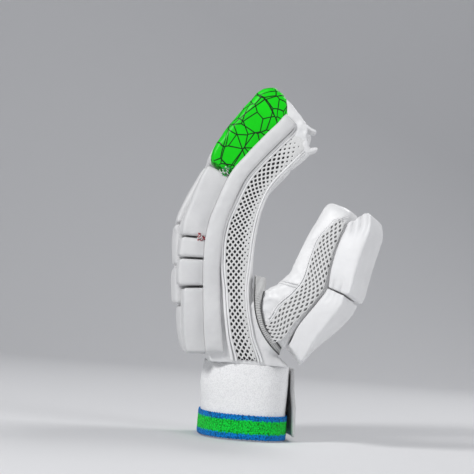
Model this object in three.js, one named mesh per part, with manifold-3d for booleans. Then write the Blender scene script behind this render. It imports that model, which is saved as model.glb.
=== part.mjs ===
// A left-hand cricket batting glove, standing upright on its knitted cuff.
// X points out of the palm, Y from the index side to the little finger side, Z up. Millimetres.
import * as THREE from "three";
import { mergeVertices } from "three/addons/utils/BufferGeometryUtils.js";
import Module from "manifold-3d";

const wasm = await Module();
wasm.setup();

// Walls and clearances
const WALL = 2.4;
const GAP = 0.3;
const PAD_GAP = 0.5;

// Cuff and closure
const CUFF_HEIGHT = 60.5;
const CUFF_DEPTH = 70;
const CUFF_WIDTH = 87;
const CUFF_WALL = 2.4;
const CUFF_OFFSET = 4;
const CUFF_ROUNDNESS = 2.5;
const CUFF_STEPS = 36;
const BAND_FOOT = 1.2;
const BAND_HEIGHT = 19.4;
const BAND_THICK = 1.5;
const STRAP_WIDTH = 46;
const STRAP_THICK = 2.2;
const STRAP_LIFT = 4;
const STRAP_START = 30;
const STRAP_FOOT = 4.5;

// Hand and fingers
const HAND_RISE = 104.9;
const HAND_DEPTH = 41;
const FINGER_WIDTH = 24;
const FINGER_GAP = 0.4;
const FINGER_RISE = 92;
const FINGER_REACH = 50;
const FINGER_DEPTH = 37;
const ARCH = 6;
const TIP_ROUND = 4;
const TAB_THICK = 1.8;
const TAB_WIDTH = 16;

// Side bar, mesh panel and welts along the index side
const BAR_THICK = 5;
const BAR_EDGE = 1.2;
const MESH_THICK = 1.5;
const WELT_THICK = 2.6;
const WELT_EDGE = 1.8;
const WINDOW_MARGIN = 2;
const HOLE_PITCH = 6.1;
const HOLE_ACROSS = 3.8;
const HOLE_ALONG = 6.4;

// Pads
const PAD_THICK = 19;
const TIP_PAD_THICK = 26;
const BACK_ROLL_THICK = 15.5;
const PAD_INSET = 0.4;

// Thumb
const THUMB_RISE = 104;
const THUMB_REACH = 54;
const THUMB_DEPTH = 31;
const THUMB_WIDTH = 40;
const THUMB_OFFSET = 46;
const THUMB_LENGTH = 115;
const THUMB_PAD_THICK = 20.5;
const THUMB_LOW_PAD_THICK = 17.5;
const THUMB_PAD_SPREAD = 1.05;

const WRIST_Z = CUFF_HEIGHT + GAP;
const STRAP_HEIGHT = CUFF_HEIGHT - STRAP_FOOT - GAP;
const COLUMN_PITCH = FINGER_WIDTH + FINGER_GAP;
const HAND_WIDTH = 4 * FINGER_WIDTH + 3 * FINGER_GAP;
const ROUNDNESS = 4.5;
const RING_STEPS = 16;
const LINING_STEPS = 12;

// Hand sections from the wrist to the finger roots. rise is a share of HAND_RISE, shift and depth of
// HAND_DEPTH, width of HAND_WIDTH and arch of ARCH, and lean is in degrees.
const HAND = [
  { rise: 0.0, shift: 0.11, depth: 1.66, width: 0.885, lean: 0, arch: 0.0 },
  { rise: 0.13, shift: -0.2, depth: 1.27, width: 0.93, lean: -4, arch: 0.3 },
  { rise: 0.25, shift: -0.355, depth: 1.07, width: 0.97, lean: -4, arch: 0.5 },
  { rise: 0.41, shift: -0.437, depth: 1.005, width: 1.0, lean: -5, arch: 0.6 },
  { rise: 0.56, shift: -0.476, depth: 1.0, width: 1.0, lean: -5, arch: 0.6 },
  { rise: 0.77, shift: -0.517, depth: 1.0, width: 1.0, lean: -2, arch: 0.6 },
  { rise: 0.92, shift: -0.515, depth: 1.01, width: 1.0, lean: 0, arch: 0.75 },
  { rise: 1.0, shift: -0.5, depth: 1.0, width: 1.0, lean: 4, arch: 1.0 },
];

// Finger sections from root to tip. rise is a share of FINGER_RISE, reach of FINGER_REACH, depth of
// FINGER_DEPTH and arch of ARCH.
const FINGER = [
  { rise: 0.0, reach: 0.0, depth: 1.108, lean: 4, arch: 1.0 },
  { rise: 0.11, reach: 0.03, depth: 1.09, lean: 4, arch: 0.9 },
  { rise: 0.23, reach: 0.084, depth: 1.03, lean: 8, arch: 0.7 },
  { rise: 0.345, reach: 0.15, depth: 1.0, lean: 15, arch: 0.4 },
  { rise: 0.466, reach: 0.24, depth: 0.98, lean: 25, arch: 0.15 },
  { rise: 0.592, reach: 0.394, depth: 0.93, lean: 36, arch: 0.0 },
  { rise: 0.784, reach: 0.686, depth: 0.94, lean: 39, arch: 0.0 },
  { rise: 0.934, reach: 0.914, depth: 0.93, lean: 40, arch: 0.0 },
  { rise: 1.0, reach: 0.975, depth: 0.84, lean: 42, arch: 0.0 },
];

// Ends of the rolls and pads of the two outer and the two inner columns: below 1 a share of the hand,
// above 1 one more than a share of the finger
const OUTER_PADS = [
  { name: "roll_4", from: 0.09, to: 0.585, thick: BACK_ROLL_THICK },
  { name: "roll_3", from: 0.603, to: 0.79, thick: PAD_THICK },
  { name: "roll_2", from: 0.806, to: 0.942, thick: PAD_THICK },
  { name: "upper_pad", from: 0.955, to: 1.435, thick: PAD_THICK },
  { name: "tip_pad", from: 1.45, to: 2.0, thick: TIP_PAD_THICK },
];
const INNER_PADS = [
  { name: "roll_4", from: 0.07, to: 0.452, thick: BACK_ROLL_THICK },
  { name: "roll_3", from: 0.467, to: 0.737, thick: PAD_THICK },
  { name: "roll_2", from: 0.752, to: 1.03, thick: PAD_THICK },
  { name: "upper_pad", from: 1.045, to: 1.435, thick: PAD_THICK },
  { name: "tip_pad", from: 1.45, to: 2.0, thick: TIP_PAD_THICK },
];

// One column of the hand for each finger. place is in columns from the middle of the hand, and length
// scales its finger's rise and reach.
const COLUMNS = [
  { name: "index", place: -1.5, length: 1.0, pads: OUTER_PADS },
  { name: "middle", place: -0.5, length: 1.02, pads: INNER_PADS },
  { name: "ring", place: 0.5, length: 1.0, pads: INNER_PADS },
  { name: "little", place: 1.5, length: 0.85, pads: OUTER_PADS },
];
const OUTER_PLACE = 1.5;
const ROOT = 1.0001;
const ROOT_START = 0.92;
const ROOT_END = 1.03;
const ROOT_SETTLED = 1.2;

// Strips of the index side. at counts along hand and finger as the cuts do, and from and to are shares
// of the depth, from the back of the hand to the palm.
const BAR_EDGES = [
  { at: 0.04, from: 0.04, to: 0.21 },
  { at: 0.13, from: 0.04, to: 0.27 },
  { at: 0.3, from: 0.04, to: 0.33 },
  { at: 1.0, from: 0.04, to: 0.32 },
  { at: 1.97, from: 0.04, to: 0.29 },
];
const MESH_EDGES = [
  { at: 0.02, from: 0.36, to: 0.6 },
  { at: 0.13, from: 0.45, to: 0.74 },
  { at: 0.3, from: 0.5, to: 0.84 },
  { at: 0.56, from: 0.48, to: 0.82 },
  { at: 0.77, from: 0.43, to: 0.87 },
  { at: 1.0, from: 0.41, to: 0.88 },
  { at: 1.97, from: 0.4, to: 0.88 },
];
const WELT_SPAN = 0.07;
const WELT_CLEARANCE = 0.008;
const WELTS = [
  { name: "welt_back", edge: "from", start: -WELT_SPAN },
  { name: "welt_palm", edge: "to", start: 0 },
];

// Ends of the openings that the mesh panels cover, and of the rows of holes in the panels
const HAND_WINDOW = { from: 0.06, to: 0.96 };
const FINGER_WINDOW = { from: 1.05, to: 1.9 };
const SIDE_HOLES = { from: 0.1, to: 1.88 };
const THUMB_WINDOW = { from: 0.1, to: 0.8 };
const THUMB_HOLES = { from: 0.05, to: 0.82 };
const STRIP_CELLS = [0, 0.5, 1];
const BAR_CELLS = [0, 0.12, 0.35, 0.65, 0.88, 1];

// The finger's closed end: how far past the last section, as a share of TIP_ROUND, and its size
const TIP_RINGS = [
  { past: 0.7, size: 0.93 },
  { past: 1.0, size: 0.78 },
];

// Loose leather tabs at the end of the index fingertip, from their sewn edge to their free edge. Deep
// counts in half depths of the finger towards the palm, and along in shares of TIP_ROUND past its end.
const TABS = [
  { name: "tip_tab_upper", deep: 0.08, along: 1.1, deepTo: 0.56, alongTo: 1.6 },
  { name: "tip_tab_lower", deep: 1.24, along: -1.7, deepTo: 1.52, alongTo: -1.1 },
];
const TAB_TAPER = 0.2;
const TAB_CELLS = [-1, -0.5, 0, 0.5, 1];
const TAB_POINT = 0.3;

// Thumb sections from inside the hand to the tip. rise is a share of THUMB_RISE above the wrist, reach
// of THUMB_REACH, depth of THUMB_DEPTH, width of THUMB_WIDTH and side of THUMB_OFFSET, and lean and
// turn are in degrees.
const THUMB = [
  { at: -0.3, rise: 0.2, reach: -0.06, depth: 1.5, width: 0.86, side: 0.5, lean: 58, turn: 0 },
  { at: -0.15, rise: 0.27, reach: 0.12, depth: 1.52, width: 0.92, side: 0.62, lean: 57, turn: 2 },
  { at: 0.0, rise: 0.33, reach: 0.32, depth: 1.5, width: 0.98, side: 0.78, lean: 52, turn: 6 },
  { at: 0.13, rise: 0.44, reach: 0.47, depth: 1.36, width: 1.0, side: 0.88, lean: 45, turn: 13 },
  { at: 0.25, rise: 0.535, reach: 0.69, depth: 1.22, width: 1.0, side: 0.95, lean: 33, turn: 20 },
  { at: 0.4, rise: 0.665, reach: 0.9, depth: 1.2, width: 1.0, side: 1.0, lean: 21, turn: 26 },
  { at: 0.57, rise: 0.835, reach: 1.0, depth: 1.08, width: 0.98, side: 1.0, lean: 19, turn: 28 },
  { at: 0.7, rise: 0.96, reach: 1.07, depth: 1.0, width: 0.97, side: 1.0, lean: 18, turn: 28 },
  { at: 0.84, rise: 1.1, reach: 1.165, depth: 0.94, width: 0.93, side: 1.0, lean: 18, turn: 28 },
  { at: 0.95, rise: 1.22, reach: 1.24, depth: 0.88, width: 0.88, side: 1.0, lean: 19, turn: 28 },
  { at: 1.0, rise: 1.285, reach: 1.28, depth: 0.74, width: 0.78, side: 1.0, lean: 19, turn: 28 },
];
const THUMB_MESH_EDGES = [
  { at: -0.02, from: 0.5, to: 0.84 },
  { at: 0.25, from: 0.5, to: 0.93 },
  { at: 0.7, from: 0.46, to: 0.93 },
  { at: 0.92, from: 0.7, to: 0.93 },
];
const THUMB_CELLS = [0, 0.4, 0.75, 1];

// Seam band round the base of the thumb, from the loose tongue beside the palm down to the heel. Its two
// sides' reach is a share of HAND_DEPTH, rise of HAND_RISE above the wrist and side of THUMB_OFFSET.
const THUMB_SEAM = [
  { reach: 0.025, rise: 0.698, side: 1.03, reachTo: 0.24, riseTo: 0.683, sideTo: 1.05 },
  { reach: 0.02, rise: 0.66, side: 1.07, reachTo: 0.25, riseTo: 0.64, sideTo: 1.1 },
  { reach: 0.025, rise: 0.56, side: 1.08, reachTo: 0.2, riseTo: 0.536, sideTo: 1.17 },
  { reach: 0.045, rise: 0.47, side: 1.1, reachTo: 0.185, riseTo: 0.464, sideTo: 1.195 },
  { reach: 0.12, rise: 0.354, side: 1.1, reachTo: 0.24, riseTo: 0.369, sideTo: 1.185 },
  { reach: 0.21, rise: 0.278, side: 1.1, reachTo: 0.31, riseTo: 0.302, sideTo: 1.175 },
  { reach: 0.335, rise: 0.206, side: 1.1, reachTo: 0.43, riseTo: 0.245, sideTo: 1.18 },
  { reach: 0.5, rise: 0.138, side: 1.08, reachTo: 0.555, riseTo: 0.195, sideTo: 1.17 },
  { reach: 0.62, rise: 0.1, side: 1.05, reachTo: 0.645, riseTo: 0.158, sideTo: 1.12 },
];
const SEAM_DEPTH = 11;
const SEAM_CROWN = 1;
const THUMB_PADS = [
  { name: "thumb_upper_pad", from: 0.42, to: 0.99, thick: THUMB_PAD_THICK },
  { name: "thumb_lower_pad", from: 0.02, to: 0.41, thick: THUMB_LOW_PAD_THICK },
];

// Section of a pad, as shares of half its width and of its thickness
const PAD_SECTION = [
  { across: -1.0, up: 0.0 },
  { across: -1.0, up: 0.6 },
  { across: -0.94, up: 0.84 },
  { across: -0.72, up: 0.96 },
  { across: 0.0, up: 1.03 },
  { across: 0.72, up: 0.96 },
  { across: 0.94, up: 0.84 },
  { across: 1.0, up: 0.6 },
  { across: 1.0, up: 0.0 },
  { across: 0.0, up: 0.0 },
];
// Thickness and width of a pad from one end to the other
const ROLL_RUN = [
  { at: 0.0, up: 0.74, across: 0.95 },
  { at: 0.1, up: 0.98, across: 1.0 },
  { at: 0.9, up: 0.98, across: 1.0 },
  { at: 1.0, up: 0.74, across: 0.95 },
];
const TIP_RUN = [
  { at: 0.0, up: 0.66, across: 0.97 },
  { at: 0.07, up: 0.86, across: 1.0 },
  { at: 0.3, up: 0.98, across: 1.0 },
  { at: 0.65, up: 1.02, across: 1.0 },
  { at: 1.0, up: 0.94, across: 0.98 },
  { at: 1.07, up: 0.8, across: 0.92 },
  { at: 1.1, up: 0.56, across: 0.84 },
];
const LEAST_STEP = 0.04;

// The strap's shares from its sewn end to its free one
const STRAP_CELLS = [0, 0.2, 0.4, 0.6, 0.8, 1];
const STRAP_LEAN = 0.7;

const COLOURS = {
  leather: { color: 0xf2f2f0, roughness: 0.55, metalness: 0 },
  pad: { color: 0xf6f6f6, roughness: 0.45, metalness: 0 },
  green: { color: 0x12c81a, roughness: 0.4, metalness: 0 },
  mesh: { color: 0xd9d9d6, roughness: 0.8, metalness: 0 },
  knit: { color: 0xf4f4f2, roughness: 0.95, metalness: 0 },
  shade: { color: 0xb9b9ba, roughness: 0.6, metalness: 0 },
};

const glove = new THREE.Group();

// Linear reading of a table's column at a place along its key column
function read(table, key, at, column) {
  const last = table.length - 1;
  if (at <= table[0][key]) return table[0][column];
  for (let i = 0; i < last; i += 1) {
    const low = table[i];
    const high = table[i + 1];
    if (at <= high[key]) {
      const share = (at - low[key]) / (high[key] - low[key]);
      return low[column] + share * (high[column] - low[column]);
    }
  }
  return table[last][column];
}

// Solids from points and faces, always facing out
function solid(points, faces) {
  const geometry = new THREE.BufferGeometry();
  geometry.setAttribute("position", new THREE.Float32BufferAttribute(points.flat(), 3));
  let volume = 0;
  for (const [a, b, c] of faces) {
    const first = new THREE.Vector3(...points[a]);
    const second = new THREE.Vector3(...points[b]);
    const third = new THREE.Vector3(...points[c]);
    volume += first.dot(second.cross(third));
  }
  const outward = volume > 0 ? faces : faces.map(([a, b, c]) => [a, c, b]);
  geometry.setIndex(outward.flat());
  return geometry;
}

// Closed body through rings of equally many points
function loft(rings) {
  const size = rings[0].length;
  const points = rings.flat();
  const faces = [];
  for (let i = 0; i + 1 < rings.length; i += 1) {
    for (let j = 0; j < size; j += 1) {
      const next = (j + 1) % size;
      const a = i * size + j;
      const b = i * size + next;
      const c = a + size;
      const d = b + size;
      faces.push([a, b, d], [a, d, c]);
    }
  }
  for (const [start, turn] of [[0, false], [(rings.length - 1) * size, true]]) {
    const ring = points.slice(start, start + size);
    const middle = [0, 1, 2].map((k) => ring.reduce((sum, p) => sum + p[k], 0) / size);
    const centre = points.push(middle) - 1;
    for (let j = 0; j < size; j += 1) {
      const a = start + j;
      const b = start + ((j + 1) % size);
      faces.push(turn ? [a, b, centre] : [b, a, centre]);
    }
  }
  return solid(points, faces);
}

// Closed body between two equal grids of points
function slab(inner, outer) {
  const rows = inner.length;
  const columns = inner[0].length;
  const points = [...inner.flat(), ...outer.flat()];
  const shift = rows * columns;
  const faces = [];
  const quad = (a, b, c, d) => faces.push([a, b, c], [a, c, d]);
  for (let i = 0; i + 1 < rows; i += 1) {
    for (let j = 0; j + 1 < columns; j += 1) {
      const a = i * columns + j;
      const b = a + 1;
      const c = b + columns;
      const d = a + columns;
      quad(a, d, c, b);
      quad(a + shift, b + shift, c + shift, d + shift);
    }
  }
  for (let i = 0; i + 1 < rows; i += 1) {
    const a = i * columns;
    const b = a + columns;
    const c = a + columns - 1;
    const d = b + columns - 1;
    quad(a, a + shift, b + shift, b);
    quad(c, d, d + shift, c + shift);
  }
  for (let j = 0; j + 1 < columns; j += 1) {
    const a = j;
    const b = (rows - 1) * columns + j;
    quad(a, a + 1, a + 1 + shift, a + shift);
    quad(b, b + shift, b + 1 + shift, b + 1);
  }
  return solid(points, faces);
}

// Joining and cutting
function toManifold(geometry) {
  const bare = geometry.clone();
  bare.deleteAttribute("normal");
  bare.deleteAttribute("uv");
  const merged = mergeVertices(bare, 1e-4);
  const vertProperties = new Float32Array(merged.attributes.position.array);
  const triVerts = new Uint32Array(merged.index.array);
  return new wasm.Manifold(new wasm.Mesh({ numProp: 3, vertProperties, triVerts }));
}

function fromManifold(manifold) {
  const bodies = manifold.decompose();
  const largest = bodies.reduce((a, b) => (b.volume() > a.volume() ? b : a));
  const mesh = largest.getMesh();
  const geometry = new THREE.BufferGeometry();
  geometry.setAttribute("position", new THREE.BufferAttribute(mesh.vertProperties, 3));
  geometry.setIndex(new THREE.BufferAttribute(mesh.triVerts, 1));
  return geometry;
}

function add(name, geometry, colour) {
  geometry.computeVertexNormals();
  const mesh = new THREE.Mesh(geometry, new THREE.MeshStandardMaterial(COLOURS[colour]));
  mesh.name = name;
  glove.add(mesh);
}

// Rounded-square outline: share of the half depth and of the half width at an angle
function outline(angle) {
  const power = 2 / ROUNDNESS;
  const sine = Math.sin(angle);
  const cosine = Math.cos(angle);
  return {
    deep: Math.sign(sine) * Math.abs(sine) ** power,
    wide: Math.sign(cosine) * Math.abs(cosine) ** power,
  };
}

// Middle of a column across the hand, at a share of the hand's full width
function columnY(column, width) {
  const half = (HAND_WIDTH * width) / 2;
  return (column.place / OUTER_PLACE) * (half - FINGER_WIDTH / 2);
}

// How far the arched back stands out at a place across the hand, as a share of ARCH
function archAt(y) {
  const inner = COLUMN_PITCH / 2;
  const outer = COLUMN_PITCH * OUTER_PLACE;
  return 1 - THREE.MathUtils.clamp((Math.abs(y) - inner) / (outer - inner), 0, 1);
}

// Section of one column: below 1 on the hand, above 1 on its finger
function section(column, at) {
  if (at > 2) {
    const past = (at - 2) * Math.hypot(FINGER_RISE, FINGER_REACH) * column.length;
    return moveAlong(section(column, 2), past);
  }
  const rootX = HAND[HAND.length - 1].shift * HAND_DEPTH;
  const onHand = at <= 1;
  const table = onHand ? HAND : FINGER;
  const share = onHand ? at : at - 1;
  const get = (name) => read(table, "rise", share, name);
  const lean = THREE.MathUtils.degToRad(get("lean"));
  const width = onHand ? get("width") : 1;
  return {
    x: onHand ? get("shift") * HAND_DEPTH : rootX + get("reach") * FINGER_REACH * column.length,
    y: columnY(column, width),
    z: WRIST_Z + (onHand ? share * HAND_RISE : HAND_RISE + share * FINGER_RISE * column.length),
    depth: get("depth") * (onHand ? HAND_DEPTH : FINGER_DEPTH),
    width,
    arch: get("arch") * ARCH,
    normal: [Math.cos(lean), -Math.sin(lean)],
    onHand,
  };
}

// A point of a section: y across the hand, deep along its normal towards the palm
function place(part, y, deep) {
  const rise = part.arch * archAt(part.onHand ? y : part.y);
  const out = deep - rise;
  return [part.x + part.normal[0] * out, y, part.z + part.normal[1] * out];
}

function moveAlong(part, distance) {
  const [cosine, sine] = [part.normal[0], -part.normal[1]];
  return { ...part, x: part.x + sine * distance, z: part.z + cosine * distance };
}

// Ring of the whole hand, grown outwards by grow
function handRing(at, grow, steps = RING_STEPS) {
  const near = section(COLUMNS[0], at);
  const half = near.depth / 2 + grow;
  const round = FINGER_WIDTH / 2 + grow;
  const ring = [];
  const quarter = steps / 4;
  const flats = [-1, -0.5, 0, 0.5, 1].map((share) => share * COLUMN_PITCH * near.width);
  for (let i = 0; i <= 2 * quarter; i += 1) {
    const { deep, wide } = outline(Math.PI / 2 + (i * 2 * Math.PI) / steps);
    ring.push(place(near, near.y + wide * round, deep * half));
  }
  for (const y of flats) ring.push(place(near, y, -half));
  for (let i = 0; i <= 2 * quarter; i += 1) {
    const { deep, wide } = outline(-Math.PI / 2 + (i * 2 * Math.PI) / steps);
    ring.push(place(near, -near.y + wide * round, deep * half));
  }
  for (const y of flats.reverse()) ring.push(place(near, y, half));
  return ring;
}

function handSolid(grow, reachPast, steps = RING_STEPS) {
  const rows = HAND.map((row) => handRing(row.rise, grow, steps));
  const extend = (ring, from, distance) => {
    const part = section(COLUMNS[0], from);
    return ring.map(([x, y, z]) => [x - part.normal[1] * distance, y, z + part.normal[0] * distance]);
  };
  if (reachPast > 0) {
    rows.unshift(extend(rows[0], 0, -reachPast));
    rows.push(extend(rows[rows.length - 1], 1, reachPast));
  }
  return toManifold(loft(rows));
}

// Ring of one finger stall
function stallRing(column, part, grow, shrink = 1, steps = RING_STEPS) {
  const ring = [];
  for (let i = 0; i < steps; i += 1) {
    const { deep, wide } = outline((i * 2 * Math.PI) / steps);
    const half = (part.depth / 2 + grow) * shrink;
    const round = (FINGER_WIDTH / 2 + grow) * shrink;
    ring.push(place(part, part.y + wide * round, deep * half));
  }
  return ring;
}

function stallSolid(column) {
  const root = moveAlong(section(column, ROOT), GAP);
  const sections = FINGER.slice(1).map((row) => section(column, 1 + row.rise));
  const last = sections[sections.length - 1];
  const outer = [root, ...sections].map((part) => stallRing(column, part, 0));
  for (const { past, size } of TIP_RINGS) {
    outer.push(stallRing(column, moveAlong(last, TIP_ROUND * past), 0, size));
  }
  const inner = [moveAlong(root, -2 * WALL), ...sections]
    .map((part) => stallRing(column, part, -WALL, 1, LINING_STEPS));
  return toManifold(loft(outer)).subtract(toManifold(loft(inner)));
}

// A point of the index side: across is a share of the depth from back to palm, out is towards the viewer
function sidePoint(at, across, out) {
  const part = section(COLUMNS[0], at);
  const deep = 2 * across - 1;
  const wide = (1 - Math.abs(deep) ** ROUNDNESS) ** (1 / ROUNDNESS);
  const half = part.depth / 2;
  const point = place(part, part.y - (wide * FINGER_WIDTH) / 2, deep * half);
  return [point[0], point[1] - out, point[2]];
}

// Strip of the index side between two edges, from a table or a part of it
function sideStrip(edges, cells, inside, outside, first = edges[0].at, last = edges.at(-1).at) {
  const grid = (offset) => tableSteps(first, last).map((at) => {
    const from = read(edges, "at", at, "from");
    const to = read(edges, "at", at, "to");
    return cells.map((cell) => sidePoint(at, from + cell * (to - from), offset(cell)));
  });
  return slab(grid(inside), grid(outside));
}

// Rows of the hand and finger tables that lie between two places, with those places themselves
function tableSteps(first, last) {
  const rows = [...HAND.map((row) => row.rise), ...FINGER.slice(1).map((row) => 1 + row.rise)];
  return [first, ...rows.filter((at) => at > first + 0.01 && at < last - 0.01), last];
}

// Diamond cutters in staggered rows along a strip
function diamonds(edges, pointAt, lengthPerAt, widthAt, ends) {
  const cutters = [];
  let row = 0;
  for (let at = ends.from; at < ends.to; at += HOLE_PITCH / lengthPerAt(at)) {
    const from = read(edges, "at", at, "from");
    const to = read(edges, "at", at, "to");
    const width = (to - from) * widthAt(at);
    const count = Math.max(1, Math.floor(width / HOLE_PITCH) - (row % 2));
    for (let i = 0; i < count; i += 1) {
      const across = from + (to - from) * (0.5 + ((i - (count - 1) / 2) * HOLE_PITCH) / width);
      const along = HOLE_ALONG / 2 / lengthPerAt(at);
      const side = (HOLE_ACROSS / 2 / width) * (to - from);
      const corners = [[at - along, across], [at, across - side], [at + along, across], [at, across + side]];
      const ring = (out) => corners.map(([a, c]) => pointAt(a, c, out));
      cutters.push(toManifold(loft([ring(-WALL), ring(2 * WALL)])));
    }
    row += 1;
  }
  return wasm.Manifold.union(cutters);
}

// Hand shell with its thumb and mesh windows
function buildBody() {
  const margin = WINDOW_MARGIN / HAND_DEPTH;
  const inset = MESH_EDGES.map((row) => ({ at: row.at, from: row.from + margin, to: row.to - margin }));
  const sideWindow = ({ from, to }) =>
    toManifold(sideStrip(inset, STRIP_CELLS, () => -3 * WALL, () => 2 * WALL, from, to));
  const hand = handSolid(0, 0)
    .subtract(handSolid(-WALL, WALL, LINING_STEPS))
    .subtract(thumbSolid(-WALL, true))
    .subtract(sideWindow(HAND_WINDOW));
  add("hand_shell", fromManifold(hand), "leather");
  for (const column of COLUMNS) {
    let stall = stallSolid(column);
    if (column === COLUMNS[0]) stall = stall.subtract(sideWindow(FINGER_WINDOW));
    add(`${column.name}_stall`, fromManifold(stall), "leather");
  }
}

// Padded bar, two welts and the mesh panel between them
function buildSide() {
  const barRise = (cell) => GAP + BAR_EDGE + BAR_THICK * Math.sqrt(Math.max(0, Math.sin(Math.PI * cell)));
  add("side_bar", sideStrip(BAR_EDGES, BAR_CELLS, () => GAP, barRise), "pad");
  const weltRise = (cell) => GAP + (cell === 0.5 ? WELT_THICK : WELT_EDGE);
  for (const { name, edge, start } of WELTS) {
    const edges = MESH_EDGES.map((row) => ({
      at: row.at,
      from: row[edge] + start + WELT_CLEARANCE,
      to: row[edge] + start + WELT_SPAN - WELT_CLEARANCE,
    }));
    add(name, sideStrip(edges, STRIP_CELLS, () => GAP, weltRise), "pad");
  }
  const panel = toManifold(sideStrip(MESH_EDGES, STRIP_CELLS, () => GAP, () => GAP + MESH_THICK));
  const lengthPerAt = (at) => (at < 1 ? HAND_RISE : Math.hypot(FINGER_RISE, FINGER_REACH));
  const widthAt = (at) => section(COLUMNS[0], at).depth;
  const holes = diamonds(MESH_EDGES, sidePoint, lengthPerAt, widthAt, SIDE_HOLES);
  add("side_mesh", fromManifold(panel.subtract(holes)), "mesh");
}

// A pad from a run of sections, on a frame that gives a point for a place across and a height. It has
// a section at each row of the table under it too, so that its base follows every bend there.
function pad(run, rows, from, to, thick, frame) {
  const length = to - from;
  const own = run.map((row) => row.at);
  const extra = rows.map((at) => (at - from) / length)
    .filter((share) => share > 0 && share < 1 && own.every((at) => Math.abs(at - share) > LEAST_STEP));
  const shares = [...own, ...extra].sort((a, b) => a - b);
  return loft(shares.map((share) => {
    const wide = read(run, "at", share, "across");
    const high = read(run, "at", share, "up") * thick;
    return PAD_SECTION.map((point) => frame(from + share * length, point.across * wide, point.up * high));
  }));
}

function buildTabs() {
  const tip = section(COLUMNS[0], 2);
  for (const { name, deep, along, deepTo, alongTo } of TABS) {
    const grid = (lift) => STRIP_CELLS.map((run) => TAB_CELLS.map((across) => {
      const share = run * (1 - TAB_POINT * across ** 2);
      const part = moveAlong(tip, (along + share * (alongTo - along)) * TIP_ROUND + lift);
      const out = ((deep + share * (deepTo - deep)) * part.depth) / 2;
      return place(part, part.y + across * (TAB_WIDTH / 2) * (1 - TAB_TAPER * run), out);
    }));
    add(name, slab(grid(0), grid(TAB_THICK)), "leather");
  }
}

function buildPads() {
  const fingerRows = FINGER.slice(1).map((row) => 1 + row.rise);
  const columnRows = [...HAND.map((row) => row.rise), ROOT_END, ...fingerRows];
  for (const column of COLUMNS) {
    for (const { name, from, to, thick } of column.pads) {
      const isTip = name === "tip_pad";
      const frame = (at, across, up) => {
        const part = section(column, at);
        const y = part.y + across * (FINGER_WIDTH / 2 - PAD_INSET) * part.width;
        const overHand = archAt(y) * (1 - THREE.MathUtils.smoothstep(at, ROOT_END, ROOT_SETTLED));
        const overFinger = archAt(part.y) * THREE.MathUtils.smoothstep(at, ROOT_START, 1);
        const arch = part.arch * Math.max(overHand, overFinger);
        const out = -(part.depth / 2 + PAD_GAP + up) - arch;
        return [part.x + part.normal[0] * out, y, part.z + part.normal[1] * out];
      };
      const geometry = pad(isTip ? TIP_RUN : ROLL_RUN, columnRows, from, to, thick, frame);
      add(`${column.name}_${name}`, geometry, isTip && column === COLUMNS[0] ? "green" : "pad");
    }
  }
}

// Thumb frame: out of its back and across its width, turned towards the viewer
function thumbSection(at) {
  const get = (name) => read(THUMB, "at", at, name);
  const lean = THREE.MathUtils.degToRad(get("lean"));
  const turn = THREE.MathUtils.degToRad(get("turn"));
  const side = new THREE.Vector3(Math.cos(lean), 0, -Math.sin(lean));
  const far = new THREE.Vector3(0, 1, 0);
  const height = WRIST_Z + get("rise") * THUMB_RISE;
  return {
    centre: new THREE.Vector3(get("reach") * THUMB_REACH, -get("side") * THUMB_OFFSET, height),
    back: side.clone().multiplyScalar(Math.cos(turn)).addScaledVector(far, -Math.sin(turn)),
    across: far.clone().multiplyScalar(Math.cos(turn)).addScaledVector(side, Math.sin(turn)),
    depth: get("depth") * THUMB_DEPTH,
    width: get("width") * THUMB_WIDTH,
  };
}

function thumbPlace(part, across, out) {
  return part.centre.clone().addScaledVector(part.across, across).addScaledVector(part.back, out).toArray();
}

function thumbSolid(grow, inside) {
  const rows = inside ? THUMB.slice(0, -1) : THUMB;
  const steps = inside ? LINING_STEPS : RING_STEPS;
  return toManifold(loft(rows.map((row) => {
    const part = thumbSection(row.at);
    return Array.from({ length: steps }, (_, i) => {
      const { deep, wide } = outline((i * 2 * Math.PI) / steps);
      return thumbPlace(part, wide * (part.width / 2 + grow), deep * (part.depth / 2 + grow));
    });
  })));
}

// A point of the thumb's near side: along is a share of its depth from the grip side to its back
function thumbSidePoint(at, along, out) {
  const part = thumbSection(at);
  const deep = 2 * along - 1;
  const wide = (1 - Math.abs(deep) ** ROUNDNESS) ** (1 / ROUNDNESS);
  return thumbPlace(part, -(wide * part.width) / 2 - out, (deep * part.depth) / 2);
}

function thumbStrip(edges, steps, inside, outside) {
  const grid = (out) => steps.map((at) => {
    const from = read(edges, "at", at, "from");
    const to = read(edges, "at", at, "to");
    return THUMB_CELLS.map((cell) => thumbSidePoint(at, from + cell * (to - from), out));
  });
  return slab(grid(inside), grid(outside));
}

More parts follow.
